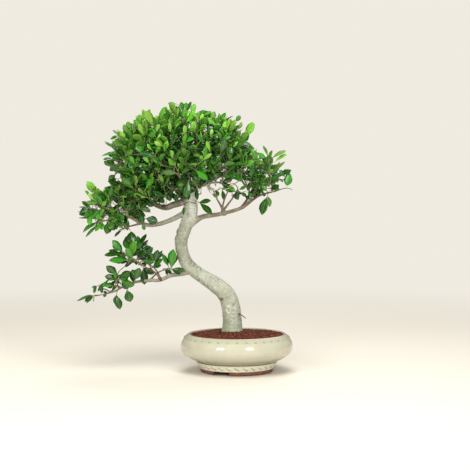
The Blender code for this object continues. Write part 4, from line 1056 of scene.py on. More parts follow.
FRONT_LEAVES = np.array([
    (19, -30, 535, 37, -34, 573, 18, 78), (80, -20, 490, 112, -26, 511, 11, 100),
    (85, -26, 481, 116, -34, 499, 9, 95), (84, -34, 458, 107, -42, 485, 9, 90), (71, -10, 495, 60, -6, 520, 9, 50),
    (121, -16, 458, 114, -24, 427, 20, 40), (110, -20, 447, 98, -26, 463, 11, 20),
    (69, -26, 402, 55, -30, 361, 20, 30), (71, -10, 404, 78, -6, 378, 11, 50),
    (-107, -78, 438, -114, -86, 400, 21, 22), (-89, -60, 422, -90, -64, 395, 10, 5),
    (-88, -24, 388, -59, -32, 395, 11, 30), (-84, -26, 388, -56, -34, 362, 16, 30),
    (-120, -30, 381, -122, -36, 361, 9, 30), (-207, -32, 353, -179, -40, 346, 20, 0),
    (-93, -92, 462, -64, -102, 440, 16, 35), (-321, -20, 410, -341, -26, 437, 19, 85),
    (-316, -28, 345, -351, -36, 329, 9, 40), (-313, -34, 340, -346, -42, 313, 10, 45),
    (-328, -12, 363, -366, -8, 372, 4, 50), (-325, -20, 372, -360, -24, 383, 5, 45),
    (-309, -38, 346, -303, -48, 328, 14, 50), (-262, -20, 326, -281, -24, 313, 7, 20),
    (-188, -52, 561, -204, -58, 599, 18, 100), (-210, -36, 567, -228, -40, 584, 14, 88),
    (-150, -10, 595, -146, -8, 620, 11, 30), (-123, 0, 594, -126, 4, 621, 11, 40),
    (-113, -14, 595, -106, -16, 620, 9, 30), (-102, -26, 587, -95, -30, 614, 14, 82),
    (-98, -72, 545, -95, -80, 571, 16, 88), (-85, -66, 549, -69, -74, 565, 11, 72),
    (-82, -8, 582, -59, -4, 602, 9, 50), (-38, -10, 572, -25, -8, 595, 11, 35),
    (-18, -50, 546, -4, -58, 574, 14, 92), (10, -34, 524, 21, -40, 551, 14, 72),
    (10, -20, 529, 35, -24, 520, 7, 40), (-240, -30, 547, -246, -34, 573, 14, 50),
    (-282, -14, 513, -301, -14, 529, 7, 30), (-275, -22, 502, -308, -26, 497, 8, 40),
    (-283, -10, 486, -306, -10, 490, 7, 20), (-262, -16, 538, -282, -16, 556, 6, 20),
    (-119, -96, 519, -114, -106, 539, 11, 82), (-161, -98, 502, -154, -108, 526, 13, 82),
    (-59, -92, 504, -66, -102, 526, 10, 82), (-75, -98, 484, -57, -108, 499, 9, 100),
    (-203, -78, 420, -186, -88, 447, 14, 50), (-2, -20, 558, -18, -22, 581, 9, 70),
    (-174, -26, 581, -160, -30, 608, 14, 60), (-54, -30, 560, -38, -34, 585, 11, 60),
    (48, -36, 485, 34, -44, 508, 14, 60), (-267, -10, 541, -290, -10, 536, 7, 30),
    (-225, -40, 557, -218, -46, 584, 14, 70), (-138, -16, 613, -157, -16, 615, 9, 50),
    (-57, -12, 409, -43, -16, 402, 9, 40), (-50, -6, 418, -40, -10, 405, 8, 20),
    (-33, -20, 418, -29, -26, 394, 11, 30), (-36, -18, 420, -23, -24, 422, 7, 50),
    (-8, -8, 406, 5, -14, 396, 9, 25), (-4, -2, 408, 14, 4, 412, 7, 35), (9, -14, 412, 22, -20, 403, 9, 20),
    (16, -12, 406, 31, -18, 397, 8, 30), (25, -16, 412, 38, -22, 403, 8, 45), (-21, -26, 426, -4, -32, 417, 10, 55),
    (-14, -6, 432, -26, 0, 421, 8, 25), (5, -18, 418, 20, -26, 426, 8, 40), (42, -20, 418, 54, -28, 407, 9, 30),
    (51, -22, 423, 67, -30, 418, 8, 50), (-199, -30, 578, -225, -36, 587, 12, 70),
    (-202, -24, 573, -213, -26, 601, 14, 85), (-206, -14, 576, -199, -12, 603, 10, 60),
    (-118, -8, 592, -117, -10, 618, 12, 40), (-92, -14, 584, -72, -16, 601, 10, 45),
    (-268, -16, 417, -291, -20, 445, 14, 30), (-273, -8, 443, -297, -6, 438, 10, 25),
    (-266, -22, 420, -281, -26, 441, 12, 15), (-165, -30, 417, -149, -36, 393, 14, 5),
    (-149, -20, 413, -135, -24, 393, 12, 5), (-119, -22, 417, -126, -26, 397, 10, 5),
    (-107, -28, 417, -112, -32, 395, 9, 10), (-222, -28, 367, -213, -36, 341, 17, 3),
    (-215, -20, 342, -210, -24, 326, 9, 20), (74, -22, 486, 79, -26, 509, 8, 60),
    (-1, -20, 414, -26, -24, 419, 9, 40), (2, -16, 417, 0, -20, 395, 11, 5),
    (-333, -24, 378, -352, -30, 392, 10, 30), (-330, -18, 352, -362, -16, 357, 5, 40),
    (-326, -30, 336, -352, -34, 322, 6, 45), (3, -22, 507, 25, -26, 519, 14, 30),
    (20, -20, 504, 40, -22, 514, 12, 45), (76, -22, 416, 96, -26, 430, 12, 25),
    (80, -22, 428, 99, -18, 418, 11, 35), (78, -14, 432, 92, -12, 416, 11, 20),
    (-199, -26, 396, -181, -30, 381, 13, 5), (-208, -16, 394, -192, -18, 379, 12, 5),
    (-178, -22, 402, -165, -26, 387, 12, 8), (-222, -12, 396, -206, -14, 382, 12, 5),
    (-140, -30, 408, -136, -34, 390, 11, 5), (98, -14, 453, 124, -20, 463, 13, 10),
    (-286, -26, 470, -301, -30, 484, 10, 20), (-275, -20, 472, -290, -20, 461, 11, 15),
    (-32, -26, 436, -10, -30, 442, 12, 25), (-9, -24, 443, 12, -30, 447, 12, 35),
    (13, -22, 441, 35, -28, 446, 12, 30), (-36, -16, 433, -19, -20, 425, 11, 15),
    (46, -30, 503, 64, -34, 489, 12, 40), (-276, -24, 452, -292, -26, 442, 12, 20),
    (-2, -30, 572, 8, -34, 586, 11, 45),
])


def toned_to(share):
    """A factor for each number of a row, which changes only the last number, and with it how young and how pale the
    leaf is painted.
    """
    return [1] * 7 + [share]


# Behind most leaves of the low branch stands a second, older one, turned another way.
rng = np.random.default_rng(15)
crowded = (LOW_LEAVES[:, 2] > 236) & (LOW_LEAVES[:, 0] < -178)
behind = np.vstack((LOW_LEAVES[rng.random(len(LOW_LEAVES)) < 0.85], LOW_LEAVES[crowded])).astype(float)
reach = np.linalg.norm(behind[:, 3:6] - behind[:, :3], axis=1)[:, None]
turned = unit(behind[:, 3:6] - behind[:, :3] + rng.uniform(-0.9, 0.9, (len(behind), 3)) * reach)
behind[:, 1] += rng.uniform(3, 12, len(behind))
behind[:, 3:6] = behind[:, :3] + turned * (0.80 * reach) + (0.0, 4.0, 0.0)
behind[:, 6] *= 0.85
behind[:, 7] = rng.uniform(0, 25, len(behind))
# Painted shade: the leaves of the low branch keep half their listed youth, so they are painted darker green, as in
# the shade of the crown.
low_leaves = np.vstack((LOW_LEAVES * toned_to(0.50), behind))
single = np.vstack((low_leaves, FRONT_LEAVES * toned_to(0.82))) / ([1000] * 7 + [100])
single_foot, single_tip, single_width, single_youth_and_light = single[:, :3], single[:, 3:6], single[:, 6], single[:, 7]
single_ahead = unit(single_tip - single_foot)
single_length = np.linalg.norm(single_tip - single_foot, axis=1) / (1 - STALK)
single_foot = single_tip - single_ahead * single_length[:, None]
all_base = np.vstack((tips - heading * leafy_length[:, None], single_foot - SPUR * single_ahead))
all_tip = np.vstack((tips, single_foot))
all_heading = np.vstack((heading, unit(single_ahead + (0.0, 0.3, 0.1))))
single_mass = np.where(np.arange(len(single)) < len(low_leaves), LOW_BRANCH, mass_at(single_foot))
print(len(tips), "shoots and", len(single), "single leaves")

# %% [markdown]
# ## Twigs
# A twig joins each shoot to the wood. The nearest shoots are joined first, and later ones may
# join the twigs that are already there, so the twigs branch as real ones do. A place on the wood
# costs its distance, and more where the twig would have to turn back or leave the wood sideways.
# The twig is a cubic curve from the cheapest place, (1 - t)^3 a + 3 (1 - t)^2 t b +
# 3 (1 - t) t^2 c + t^3 d. Its radius grows with the number of shoots it feeds, to the power 0.42.
# %% Growing the twigs
STEPS, LEAFY_STEPS = 8, 6
BACKWARD, SIDEWAYS = 0.9, 0.5
wood_points = centres.copy()
wood_ahead = tangents.copy()
allowed = (thick > 0.0011) & (thick < 0.0130) & (centres[:, 2] > 0.165) & (centres[:, 0] < 0.092)
wood_points, wood_ahead = wood_points[allowed], wood_ahead[allowed]
owner = np.full(len(wood_points), -1)
place_on = np.zeros(len(wood_points), dtype=int)
distance = np.array([np.min(np.linalg.norm(wood_points - base, axis=1)) for base in all_base])
order = np.argsort(distance)
paths = np.zeros((len(all_tip), STEPS + LEAFY_STEPS, 3))
parent, parent_step = np.full(len(all_tip), -1), np.zeros(len(all_tip), dtype=int)
t = np.linspace(0, 1, STEPS + 1)[:, None]
for number in order:
    base, ahead_to = all_base[number], all_heading[number]
    reach = base - wood_points
    far = np.linalg.norm(reach, axis=1)
    lean = np.sum(reach * ahead_to, axis=1) / np.maximum(far, 1e-9)
    onward = np.sum(reach * wood_ahead, axis=1) / np.maximum(far, 1e-9)
    cost = far * (1.0 + BACKWARD * (1 - lean) + SIDEWAYS * np.clip(0.4 - onward, 0, None)) + 0.05 * (far < 0.008)
    best = int(np.argmin(cost))
    alone = number >= len(tips)
    start = wood_points[best]
    if alone:
        base = all_tip[number] - SPUR * unit(unit(all_tip[number] - start) + 0.6 * ahead_to)
    along_wood = 0.0 if alone else np.clip(1.6 * onward[best], 0, 1)
    first = start + 0.30 * (along_wood * wood_ahead[best] * far[best] + (1 - along_wood) * reach[best])
    second = base - ahead_to * far[best] * (0.12 if alone else 0.35) * np.clip(1.4 * lean[best], 0.1, 1)
    curve = ((1 - t) ** 3 * start + 3 * (1 - t) ** 2 * t * first
             + 3 * (1 - t) * t ** 2 * second + t ** 3 * base)
    stem = base + (all_tip[number] - base) * np.linspace(0, 1, LEAFY_STEPS)[:, None]
    paths[number] = np.vstack((curve[:-1], stem))
    parent[number], parent_step[number] = owner[best], place_on[best]
    wood_points = np.vstack((wood_points, curve[2:]))
    wood_ahead = np.vstack((wood_ahead, unit(np.gradient(curve, axis=0))[2:]))
    owner = np.concatenate((owner, np.full(STEPS - 1, number)))
    place_on = np.concatenate((place_on, np.arange(2, STEPS + 1)))
print("longest twig", (1000 * distance.max()).round(0), "mm")

# %% [markdown]
# ## The leaves
# A ficus leaf is a small leathery oval on a short stalk, widest beyond its middle, with a blunt
# point, folded a little along the midrib and curved down. One leaf is a closed lens of a few
# dozen faces; arrays of bend, fold, length and direction turn it into thousands of different ones.
# %% One leaf
ACROSS = np.array([-1.0, -0.52, 0.0, 0.52, 1.0])
ALONG = np.array([0.0, STALK, 0.20, 0.36, 0.56, 0.74, 0.89, 1.0])


def leaf_outline(u):
    """Half width over half the greatest width: the stalk's share up to 0.13, then
    sin(pi b^1.3)^0.85 of the rest b, so the widest place is past the middle and the tip blunt."""
    blade = np.clip((u - STALK) / (1 - STALK), 0, 1)
    return np.where(u < 0.14, 0.055, np.maximum(0.055 * (u < 0.99), np.sin(np.pi * blade ** 1.3).clip(0) ** 0.85))


def leaf_pattern():
    """Faces and flat coordinates of the leaf: (along, across, which face is up: 1 top, -1 under)."""
    rows, columns = len(ALONG) - 1, len(ACROSS)
    top = [(u, v, 1.0) for u in ALONG[:-1] for v in ACROSS]
    under = [(u, v, -1.0) for u in ALONG[:-1] for v in ACROSS[1:-1]]
    flat = np.array(top + under + [(1.0, 0.0, 0.0)])
    top_id = np.arange(rows * columns).reshape(rows, columns)
    under_id = rows * columns + np.arange(rows * (columns - 2)).reshape(rows, columns - 2)
    under_id = np.column_stack((top_id[:, 0], under_id, top_id[:, -1]))
    tip = len(flat) - 1
    up = np.stack((top_id[:-1, :-1], top_id[1:, :-1], top_id[1:, 1:], top_id[:-1, 1:]), axis=-1)
    down = np.stack((under_id[:-1, :-1], under_id[:-1, 1:], under_id[1:, 1:], under_id[1:, :-1]), axis=-1)
    end_up = np.stack((top_id[-1, :-1], np.full(columns - 1, tip), top_id[-1, 1:]), axis=-1)
    end_down = np.stack((under_id[-1, :-1], under_id[-1, 1:], np.full(columns - 1, tip)), axis=-1)
    stalk = np.concatenate((top_id[0], under_id[0, 1:-1][::-1]))[None]
    return flat, (up.reshape(-1, 4), down.reshape(-1, 4)), (end_up, end_down), stalk


LEAF_FLAT, LEAF_QUADS, LEAF_ENDS, LEAF_STALK = leaf_pattern()
print("one leaf:", len(LEAF_FLAT), "points,", sum(len(q) for q in LEAF_QUADS + LEAF_ENDS) + 1, "faces")


# %% Many leaves
def grow_leaves(foot, ahead_to, face_up, length, width, droop, fold, twist):
    """Points of many leaves at once, as an array (leaf, point, 3).

    Along the leaf the blade follows a circle's arc of total angle `droop`; across it, it rises on
    both sides by `fold` times the distance from the midrib; `twist` turns it more towards its tip.
    """
    side = unit(np.cross(face_up, ahead_to))
    face_up = np.cross(ahead_to, side)
    u, v, layer = LEAF_FLAT.T
    half = leaf_outline(u) * v
    length, width, droop = length[:, None], width[:, None], droop[:, None]
    bend = droop * np.clip(u - 0.10, 0, 1)
    straight = np.abs(droop) < 1e-3
    droop = np.where(straight, 1, droop)
    run = length * np.where(straight, u, np.clip(u, 0, 0.10) + np.sin(bend) / droop)
    sink = length * (1 - np.cos(bend)) / droop
    across = half * width / 2
    rise = fold[:, None] * np.abs(across) * np.clip(u * 4 - 0.4, 0, 1) - 0.10 * np.abs(across) * u
    body = 0.00022 + 0.00028 * (1 - np.abs(v)) + 0.0003 * (u < 0.14)
    up = rise - sink + layer * body * (np.abs(v) < 0.99)
    swing = twist[:, None] * u
    above = up + sink
    across, up = (across * np.cos(swing) - above * np.sin(swing),
                  above * np.cos(swing) + across * np.sin(swing) - sink)
    return (foot[:, None] + run[..., None] * ahead_to[:, None] + across[..., None] * side[:, None]
            + up[..., None] * face_up[:, None])


LEAVES_PER_SHOOT, GOLDEN_ANGLE, LONGEST_LEAF = 8, np.radians(137.5), 0.0390
rng = np.random.default_rng(9)
shoots = len(tips)
rank = np.arange(LEAVES_PER_SHOOT)[None] + np.zeros((shoots, 1))
share = (0.10 + 0.90 * rank / (LEAVES_PER_SHOOT - 1)) + rng.uniform(-0.04, 0.04, rank.shape)
axis_start, axis_end = paths[:shoots, STEPS], paths[:shoots, -1]
foot = axis_start[:, None] + (axis_end - axis_start)[:, None] * np.clip(share, 0, 1)[..., None]
axis = unit(axis_end - axis_start)
tangent, side, up = limb_frames(paths[:shoots])
side, up = side[:, -1], up[:, -1]
turned = GOLDEN_ANGLE * rank + rng.uniform(0, 2 * np.pi, (shoots, 1)) + rng.normal(0, 0.25, rank.shape)
lean = np.radians(78 - 52 * share) + rng.normal(0, 0.16, rank.shape)
radial = np.cos(turned)[..., None] * side[:, None] + np.sin(turned)[..., None] * up[:, None]
ahead_to = np.cos(lean)[..., None] * axis[:, None] + np.sin(lean)[..., None] * radial
ahead_to = unit(ahead_to + (0, 0, 0.12))
outward = unit(foot - np.array([-0.12, 0.0, 0.40])) * (1.0, 1.3, 0.6)
face_up = unit(0.55 * axis[:, None] + 0.55 * outward + np.array([0, 0, 0.75]) + 0.85 * rng.normal(size=foot.shape))
age = np.clip(1.12 - share + rng.normal(0, 0.12, share.shape), 0, 1)
length = LONGEST_LEAF * (0.58 + 0.42 * np.clip(age * 1.8, 0, 1)) * rng.uniform(0.72, 1.20, share.shape)
width = length * rng.uniform(0.38, 0.50, share.shape)
droop = rng.uniform(0.15, 0.75, share.shape) * (0.4 + 0.6 * age)
fold = rng.uniform(0.10, 0.42, share.shape)
twist = rng.normal(0, 0.22, share.shape)
flat = [array.reshape(-1, 3) for array in (foot, ahead_to, face_up)]
numbers = [array.ravel() for array in (length, width, droop, fold, twist)]
print(length.size, "leaves on shoots, mean length", (1000 * length.mean()).round(1), "mm")

# %% Leaves placed one by one join them
single_width = np.where(single_mass == LOW_BRANCH, 1.10, 1.0) * single_width
true_width = np.maximum(0.47 * single_length, single_width)
turned_to = np.clip(single_width / true_width, 0.15, 1.0)[:, None]
front = np.array([0.0, -1.0, 0.0])
sideways = np.cross(single_ahead, front)
sideways = unit(sideways * np.where(sideways[:, 2:] < 0, -1, 1))
single_face = turned_to * front + np.sqrt(1 - turned_to ** 2) * sideways
count = len(single)
single_numbers = (single_length, true_width, rng.uniform(0.05, 0.35, count), rng.uniform(0.08, 0.30, count),
                  rng.normal(0, 0.10, count))
flat = [np.vstack(pair) for pair in zip(flat, (single_foot, single_ahead, single_face))]
numbers = [np.concatenate(pair) for pair in zip(numbers, single_numbers)]
leaf_points = grow_leaves(*flat, *numbers)
leaf_mass = np.concatenate((np.repeat(mass_of, LEAVES_PER_SHOOT), single_mass))
print(len(leaf_points), "leaves in all, by mass", np.bincount(leaf_mass))

# %% [markdown]
# From the front some gaps let light through the pads, and the outline is crisp. Leaves of shoots
# that stand out of the outline, or in front of or behind a gap, are taken off; leaves placed one
# by one stay. A gap is (x, z, radius) in millimetres in the middle plane of the tree.
# %% Leaves taken off
GAPS = np.array([
    (-321, 378, 8), (-292, 383, 6), (-279, 389, 7), (-264, 369, 8), (-241, 347, 7), (-305, 344, 8), (-298, 355, 7),
    (-328, 346, 8), (-261, 480, 6), (-32, 475, 3), (32, 466, 3), (-52, 430, 7), (-7, 430, 6), (15, 423, 9),
    (8, 420, 8), (75, 447, 5), (83, 488, 4), (100, 457, 6), (67, 424, 4), (-71, 424, 5), (112, 428, 4),
    (-104, 443, 7), (-27, 500, 3), (-28, 463, 3)]) / 1000
RIB_POINTS = [17, 22, 27, -1]
ribs = leaf_points[:, RIB_POINTS].reshape(-1, 3)
seen = VIEWPOINT + (ribs - VIEWPOINT) * (VIEWPOINT[1] / (VIEWPOINT[1] - ribs[:, 1]))[:, None]
clear = np.linalg.norm(seen[:, None, ::2] - GAPS[None, :, :2], axis=2) > GAPS[:, 2]
within_outline = edge_distance(seen[:, 0], seen[:, 2]) > -0.006
stays = (clear.all(axis=1) & within_outline).reshape(-1, len(RIB_POINTS)).all(axis=1)
stays |= np.arange(len(leaf_points)) >= shoots * LEAVES_PER_SHOOT
print(int((~stays).sum()), "leaves taken off")

# %% [markdown]
# A twig that has lost its leaves and feeds no other is taken off too; the rest become tubes.
# %% Twigs as tubes
TWIG_RADIUS, FORK_POWER, TWIG_SIDES, WANDER = 0.00080, 0.42, 6, 0.0022
needed = np.ones(len(paths), dtype=bool)
needed[:shoots] = stays[:shoots * LEAVES_PER_SHOOT].reshape(shoots, -1).sum(axis=1) > 1
fed = needed[:, None] * np.ones(STEPS + LEAFY_STEPS)
for number in order[::-1]:
    if needed[number] and parent[number] >= 0:
        needed[parent[number]] = True
        fed[parent[number], :parent_step[number] + 1] += fed[number, 0]
fed, paths = np.maximum(fed[needed], 1), paths[needed]
thinner = np.concatenate((np.ones(STEPS), np.linspace(0.95, 0.45, LEAFY_STEPS)))
twig_radius = TWIG_RADIUS * fed ** FORK_POWER * thinner
print(len(paths), "twigs, the thickest", (2000 * twig_radius.max()).round(1), "mm")
wander = np.stack([smooth_noise(paths.reshape(-1, 3) + shift, 0.018, 51) for shift in (0.0, 7.0, 13.0)], axis=-1)
fade = np.concatenate((np.linspace(0, 1, 4), np.ones(STEPS - 7), np.linspace(1, 0, 4), np.zeros(LEAFY_STEPS - 1)))
paths = paths + WANDER * wander.reshape(paths.shape) * fade[None, :, None]
points, faces = tubes(paths, twig_radius, TWIG_SIDES)
twig_mesh = put_mesh("twigs", points + AXIS, *faces)
steps = np.arange(STEPS + LEAFY_STEPS) * 0.006
around = full_turn(TWIG_SIDES)
across, above = np.cos(around) * twig_radius[..., None], np.sin(around) * twig_radius[..., None]
local = np.stack(np.broadcast_arrays(across, above, steps[None, :, None]), axis=-1)
local = np.concatenate((local.reshape(len(paths), -1, 3), local[:, 0, :1], local[:, -1, :1]), axis=1)
mark(twig_mesh, "grain", (local + np.arange(len(paths))[:, None, None] * 0.37).reshape(-1, 3))
fill = np.repeat(twig_radius, TWIG_SIDES, axis=1)
fill = np.concatenate((fill, twig_radius[:, :1], twig_radius[:, -1:]), axis=1).ravel()
mark(twig_mesh, "stout", bump(fill, 0.0010, 0.0040))
leafy_share = np.concatenate((np.zeros(STEPS), np.linspace(0.3, 1, LEAFY_STEPS)))
leafy_share = np.concatenate((np.repeat(leafy_share, TWIG_SIDES), (0.0, 1.0)))
mark(twig_mesh, "fresh", np.tile(leafy_share, len(paths)))
for name in ("brown", "scar", "crease", "moss"):
    mark(twig_mesh, name, np.zeros(len(fill)))
twigs = put_piece("twigs", twig_mesh, bark("young_fig_bark", 700.0))

# %% [markdown]
# ## Leaf finish
# Sixty-four painted leaves share one sheet of the UV map: eight steps of youth and painted light
# from left to right, eight chances from bottom to top, each with its upper face below its underside.
# The material reads only that map, so a leaf looks the same wherever its shoot puts it, and veins follow the blade.
# %% The sheet of leaves
CELLS = 8
CELL_START, CELL_LENGTH, CELL_MIDDLE, CELL_HALF = 0.04, 0.92, 0.25, 0.22


def put_leaves(name, chosen):
    """One piece of leaves, with both its maps, from the leaves that are chosen.

    In its cell of the sheet the leaf's length runs along the cell's width, and its breadth along
    half the cell's height: the lower half for the upper face, the upper half for the underside.
    """
    points = leaf_points[chosen]
    count = len(points)
    stride = len(LEAF_FLAT)
    faces = [np.concatenate(LEAF_QUADS), np.concatenate(LEAF_ENDS), LEAF_STALK]
    mesh = put_mesh(name, points + AXIS, *(repeat_faces(group, count, stride) for group in faces))
    u, v, layer = LEAF_FLAT.T
    quads_up, ends_up = len(LEAF_QUADS[0]), len(LEAF_ENDS[0])
    corner_u, corner_v = [], []
    for group, above in ((faces[0], quads_up), (faces[1], ends_up), (faces[2], 0)):
        corners = group.ravel()
        upper = np.repeat(np.arange(len(group)) < above, group.shape[1])
        across = CELL_MIDDLE + CELL_HALF * v[corners]
        corner_u.append(np.tile(CELL_START + CELL_LENGTH * u[corners], (count, 1)))
        corner_v.append(np.tile(np.where(upper, across, 0.5 + across), (count, 1)))
    cell_u, cell_v = youth_and_light_cell[chosen][:, None], chance_cell[chosen][:, None]
    spread_u = np.concatenate([((cell_u + part) / CELLS).ravel() for part in corner_u])
    spread_v = np.concatenate([((cell_v + part) / CELLS).ravel() for part in corner_v])
    flat_map = np.column_stack((spread_u, spread_v)).astype(np.float32).ravel()
    for label in ("leaf", "OFBake"):
        mesh.uv_layers.new(name=label).data.foreach_set("uv", flat_map)
    mesh.uv_layers["leaf"].active = True
    return mesh


age_flat = age.ravel()
deep = np.repeat(np.clip(under_skin(tips) / 0.06, 0, 1), LEAVES_PER_SHOOT)
# Youth and light: each leaf's colour step mixes its age with painted light. Shoots high up, and all of the left pad,
# get paler, younger-looking leaves, as if lit by the sun; leaves deep in the cushion get darker ones.
height_in_sun = tips[:, 2] + 0.13 * (mass_of == LEFT_PAD) + 0.04 * smooth_noise(tips, 0.045, 43)
sunny = np.repeat(bump(height_in_sun, 0.40, 0.60), LEAVES_PER_SHOOT)
youth_and_light = np.clip(1.0 - age_flat - 0.25 * deep + rng.normal(0, 0.09, len(age_flat)), 0, 1) ** 1.35
youth_and_light = youth_and_light * (0.75 + 0.45 * sunny) + 0.26 * sunny * (1 - deep)
youth_and_light = np.concatenate((youth_and_light, single_youth_and_light))
youth_and_light_cell = np.clip((youth_and_light * CELLS).astype(int), 0, CELLS - 1)
chance_cell = rng.integers(0, CELLS, len(youth_and_light))
print("leaves of each age:", np.bincount(youth_and_light_cell, minlength=CELLS))

# %% Leaf material
# Leaf colours along the step of youth and painted light, from dark green to pale yellow-green.
AGE_COLOURS = ((0.0, rgb(14, 68, 12)), (0.28, rgb(46, 122, 14)), (0.60, rgb(94, 158, 34)),
               (0.85, rgb(120, 176, 54)), (1.0, rgb(152, 196, 82)))
leaf_gloss, recipe, surface = finish("fig_leaf", IOR=1.50, Coat_Weight=0.42, Coat_Roughness=0.09)
sheet = recipe.add("ShaderNodeUVMap", {"uv_map": "leaf"}).outputs[0]
parts = recipe.add("ShaderNodeSeparateXYZ", Vector=sheet)
cells_u = recipe.math("MULTIPLY", parts.outputs[0], float(CELLS))
cells_v = recipe.math("MULTIPLY", parts.outputs[1], float(CELLS))
age_number = recipe.math("FLOOR", cells_u)
chance_number = recipe.math("FLOOR", cells_v)
past_start = recipe.math("SUBTRACT", recipe.math("FRACT", cells_u), CELL_START)
length_at = recipe.math("DIVIDE", past_start, CELL_LENGTH)
in_cell = recipe.math("FRACT", cells_v)
underside = recipe.math("GREATER_THAN", in_cell, 0.5)
half_cell = recipe.math("SUBTRACT", in_cell, recipe.math("MULTIPLY", underside, 0.5))
across_at = recipe.math("DIVIDE", recipe.math("SUBTRACT", half_cell, CELL_MIDDLE), CELL_HALF)
from_rib = recipe.math("ABSOLUTE", across_at)
youth_and_light = recipe.math("DIVIDE", age_number, float(CELLS - 1))
seed = recipe.add("ShaderNodeCombineXYZ", X=age_number, Y=chance_number)
luck = recipe.add("ShaderNodeTexWhiteNoise", {"noise_dimensions": "3D"}, Vector=seed.outputs[0]).outputs["Value"]
ages = recipe.add("ShaderNodeValToRGB", Fac=youth_and_light)
while len(ages.color_ramp.elements) < len(AGE_COLOURS):
    ages.color_ramp.elements.new(0.5)
for element, (spot, colour) in zip(ages.color_ramp.elements, AGE_COLOURS):
    element.position, element.color = spot, colour
mottle_at = recipe.stretched(sheet, (90.0, 60.0, 1.0))
mottle = recipe.noise(mottle_at, 1.0, 3.0)
value = recipe.math("MULTIPLY", recipe.ramp(luck, 0.0, 1.0, 0.66, 1.38), recipe.ramp(mottle, 0.35, 0.75, 1.05, 0.86))
body = recipe.add("ShaderNodeHueSaturation", Hue=recipe.ramp(luck, 0.0, 1.0, 0.492, 0.508), Value=value,
                  Color=ages.outputs[0]).outputs[0]
slanted = recipe.math("SUBTRACT", length_at, recipe.math("MULTIPLY", from_rib, 0.22))
vein = recipe.math("SINE", recipe.math("MULTIPLY", slanted, 74.0))
vein = recipe.math("MULTIPLY", recipe.ramp(vein, 0.80, 1.0), recipe.ramp(from_rib, 0.98, 0.65))
rib = recipe.math("SUBTRACT", 1.0, recipe.ramp(from_rib, 0.02, 0.11))
stalk = recipe.ramp(length_at, 0.17, 0.12)
lines = recipe.math("MAXIMUM", recipe.math("MULTIPLY", vein, 0.13), recipe.math("MULTIPLY", rib, 0.42))
lines = recipe.math("MAXIMUM", lines, stalk)
body = recipe.blend(lines, body, rgb(142, 172, 92))
paler = recipe.blend(0.30, body, rgb(108, 158, 60))
recipe.feed(surface, "Base Color", recipe.blend(underside, body, paler))
smooth = recipe.ramp(mottle, 0.3, 0.7, 0.14, 0.25)
recipe.feed(surface, "Roughness", recipe.math("ADD", smooth, recipe.math("MULTIPLY", underside, 0.26)))
relief = recipe.math("SUBTRACT", recipe.math("MULTIPLY", mottle, 0.25), lines)
recipe.relief(surface, relief, 0.6, 0.0004)
print("leaf finish has", len(leaf_gloss.node_tree.nodes), "nodes")

# %% Leaf pieces
MASSES = {"crown": (CROWN, ("crown",)), "right_pad": (RIGHT_PAD, ("right_pad",)),
          "left_pad": (LEFT_PAD, ("left_pad",)),
          "low_branch": (LOW_BRANCH, ("low_cluster", "near_trunk_cluster", "tip_cluster"))}
for mass, (number, words) in MASSES.items():
    chosen = np.flatnonzero((leaf_mass == number) & stays)
    leaves = put_piece(f"leaves_{mass}", put_leaves(f"leaves_{mass}", chosen), leaf_gloss)
    stood_for = [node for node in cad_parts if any(node.startswith(f"shoot_{word}_") for word in words)]
    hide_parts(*stood_for)
    print(f"leaves_{mass}:", len(chosen), "leaves stand for", len(stood_for), "shoots")

# %% [markdown]
# ## Studio
# A wide pale floor and an even pale surround. Soft boxes left and right of the camera make the
# reflections on the pot's belly, a large light from above models the crown, one from behind and
# above gives the leaves their sheen, and one in front and one behind fill the shade.
# %% Floor, lights and surround
FLOOR_RADIUS, FLOOR_Z, FLOOR_COLUMNS = 30.0, -0.0002, 96
ring_at = np.linspace(0, 1, 14)[1:] ** 2 * FLOOR_RADIUS
angle = full_turn(FLOOR_COLUMNS)
ground = np.column_stack((np.outer(ring_at, np.cos(angle)).ravel(), np.outer(ring_at, np.sin(angle)).ravel()))
ground = np.column_stack((np.vstack((ground, (0, 0))), np.full(len(ground) + 1, FLOOR_Z)))
i, j = np.meshgrid(np.arange(len(ring_at) - 1), np.arange(FLOOR_COLUMNS), indexing="ij")
here, beside = i * FLOOR_COLUMNS + j, i * FLOOR_COLUMNS + (j + 1) % FLOOR_COLUMNS
plates = np.stack((here, here + FLOOR_COLUMNS, beside + FLOOR_COLUMNS, beside), axis=-1)
centre_fan = np.stack((np.full(FLOOR_COLUMNS, len(ground) - 1), j[0], np.roll(j[0], -1)), axis=-1)
floor_mesh = put_mesh("floor", ground, plates.reshape(-1, 4), centre_fan)
BACKDROP = rgb(240, 235, 224)
pale_floor, recipe, surface = finish("pale_floor", Roughness=0.85)
surface.inputs["Base Color"].default_value = rgb(236, 230, 217)
from_middle = recipe.add("ShaderNodeVectorMath", {"operation": "LENGTH"}, Vector=recipe.place()).outputs["Value"]
far_off = recipe.add("ShaderNodeEmission", Color=BACKDROP).outputs[0]
fade = recipe.mix_shaders(recipe.ramp(from_middle, 0.45, 2.4), surface.outputs[0], far_off)
recipe.feed(pale_floor.node_tree.nodes["Material Output"], "Surface", fade)
floor = bpy.data.objects.new("floor", floor_mesh)
floor_mesh.materials.append(pale_floor)
bpy.context.scene.collection.objects.link(floor)

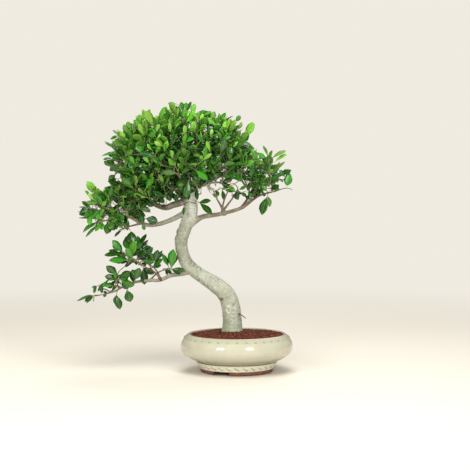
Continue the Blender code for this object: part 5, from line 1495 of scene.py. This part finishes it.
SURROUND_LIGHT, SURROUND_MIRRORED, TREE_MIDDLE = 0.50, 0.22, np.array([0.0, 0.0, 0.28])
surround = bpy.data.worlds.new("surround")
surround.use_nodes = True
recipe = Recipe(surround.node_tree)
lighting = surround.node_tree.nodes["Background"]
lighting.inputs["Color"].default_value = rgb(238, 234, 224)
lighting.inputs["Strength"].default_value = SURROUND_LIGHT
seen = recipe.add("ShaderNodeBackground", Color=BACKDROP).outputs[0]
mirrored = recipe.add("ShaderNodeBackground", Color=BACKDROP, Strength=SURROUND_MIRRORED).outputs[0]
ray = recipe.add("ShaderNodeLightPath").outputs
unseen = recipe.mix_shaders(ray["Is Glossy Ray"], lighting.outputs[0], mirrored)
choice = recipe.mix_shaders(ray["Is Camera Ray"], unseen, seen)
recipe.feed(surround.node_tree.nodes["World Output"], "Surface", choice)
bpy.context.scene.world = surround
bpy.context.scene.view_settings.view_transform = "Standard"


def soft_box(name, azimuth, elevation, distance, size, power, mirrored=True):
    """An area light that faces the tree's middle from this direction, seen from the front.

    A light that isn't mirrored makes no highlight of its own in the glaze and the leaves.
    """
    light = bpy.data.lights.new(name, "AREA")
    light.shape, light.size, light.size_y, light.energy = "RECTANGLE", size[0], size[1], power
    a, e = math.radians(azimuth), math.radians(elevation)
    spot = TREE_MIDDLE + distance * np.array([math.sin(a) * math.cos(e), -math.cos(a) * math.cos(e), math.sin(e)])
    lamp = bpy.data.objects.new(name, light)
    lamp.location = spot
    lamp.rotation_euler = (math.radians(90) - e, 0.0, a)
    lamp.visible_glossy = mirrored
    bpy.context.scene.collection.objects.link(lamp)
    print(name, "at", spot.round(2))


soft_box("left_box", -33, 24, 2.3, (0.55, 0.80), 14)
soft_box("right_box", 31, 24, 2.3, (0.55, 0.80), 12)
soft_box("top_box", 8, 62, 2.3, (1.50, 1.50), 38, mirrored=False)
soft_box("sheen_box", 176, 68, 2.3, (0.90, 0.60), 11)
soft_box("front_box", 4, 9, 2.7, (1.00, 0.50), 13, mirrored=False)
soft_box("back_box", 160, 42, 2.6, (1.20, 1.20), 8)
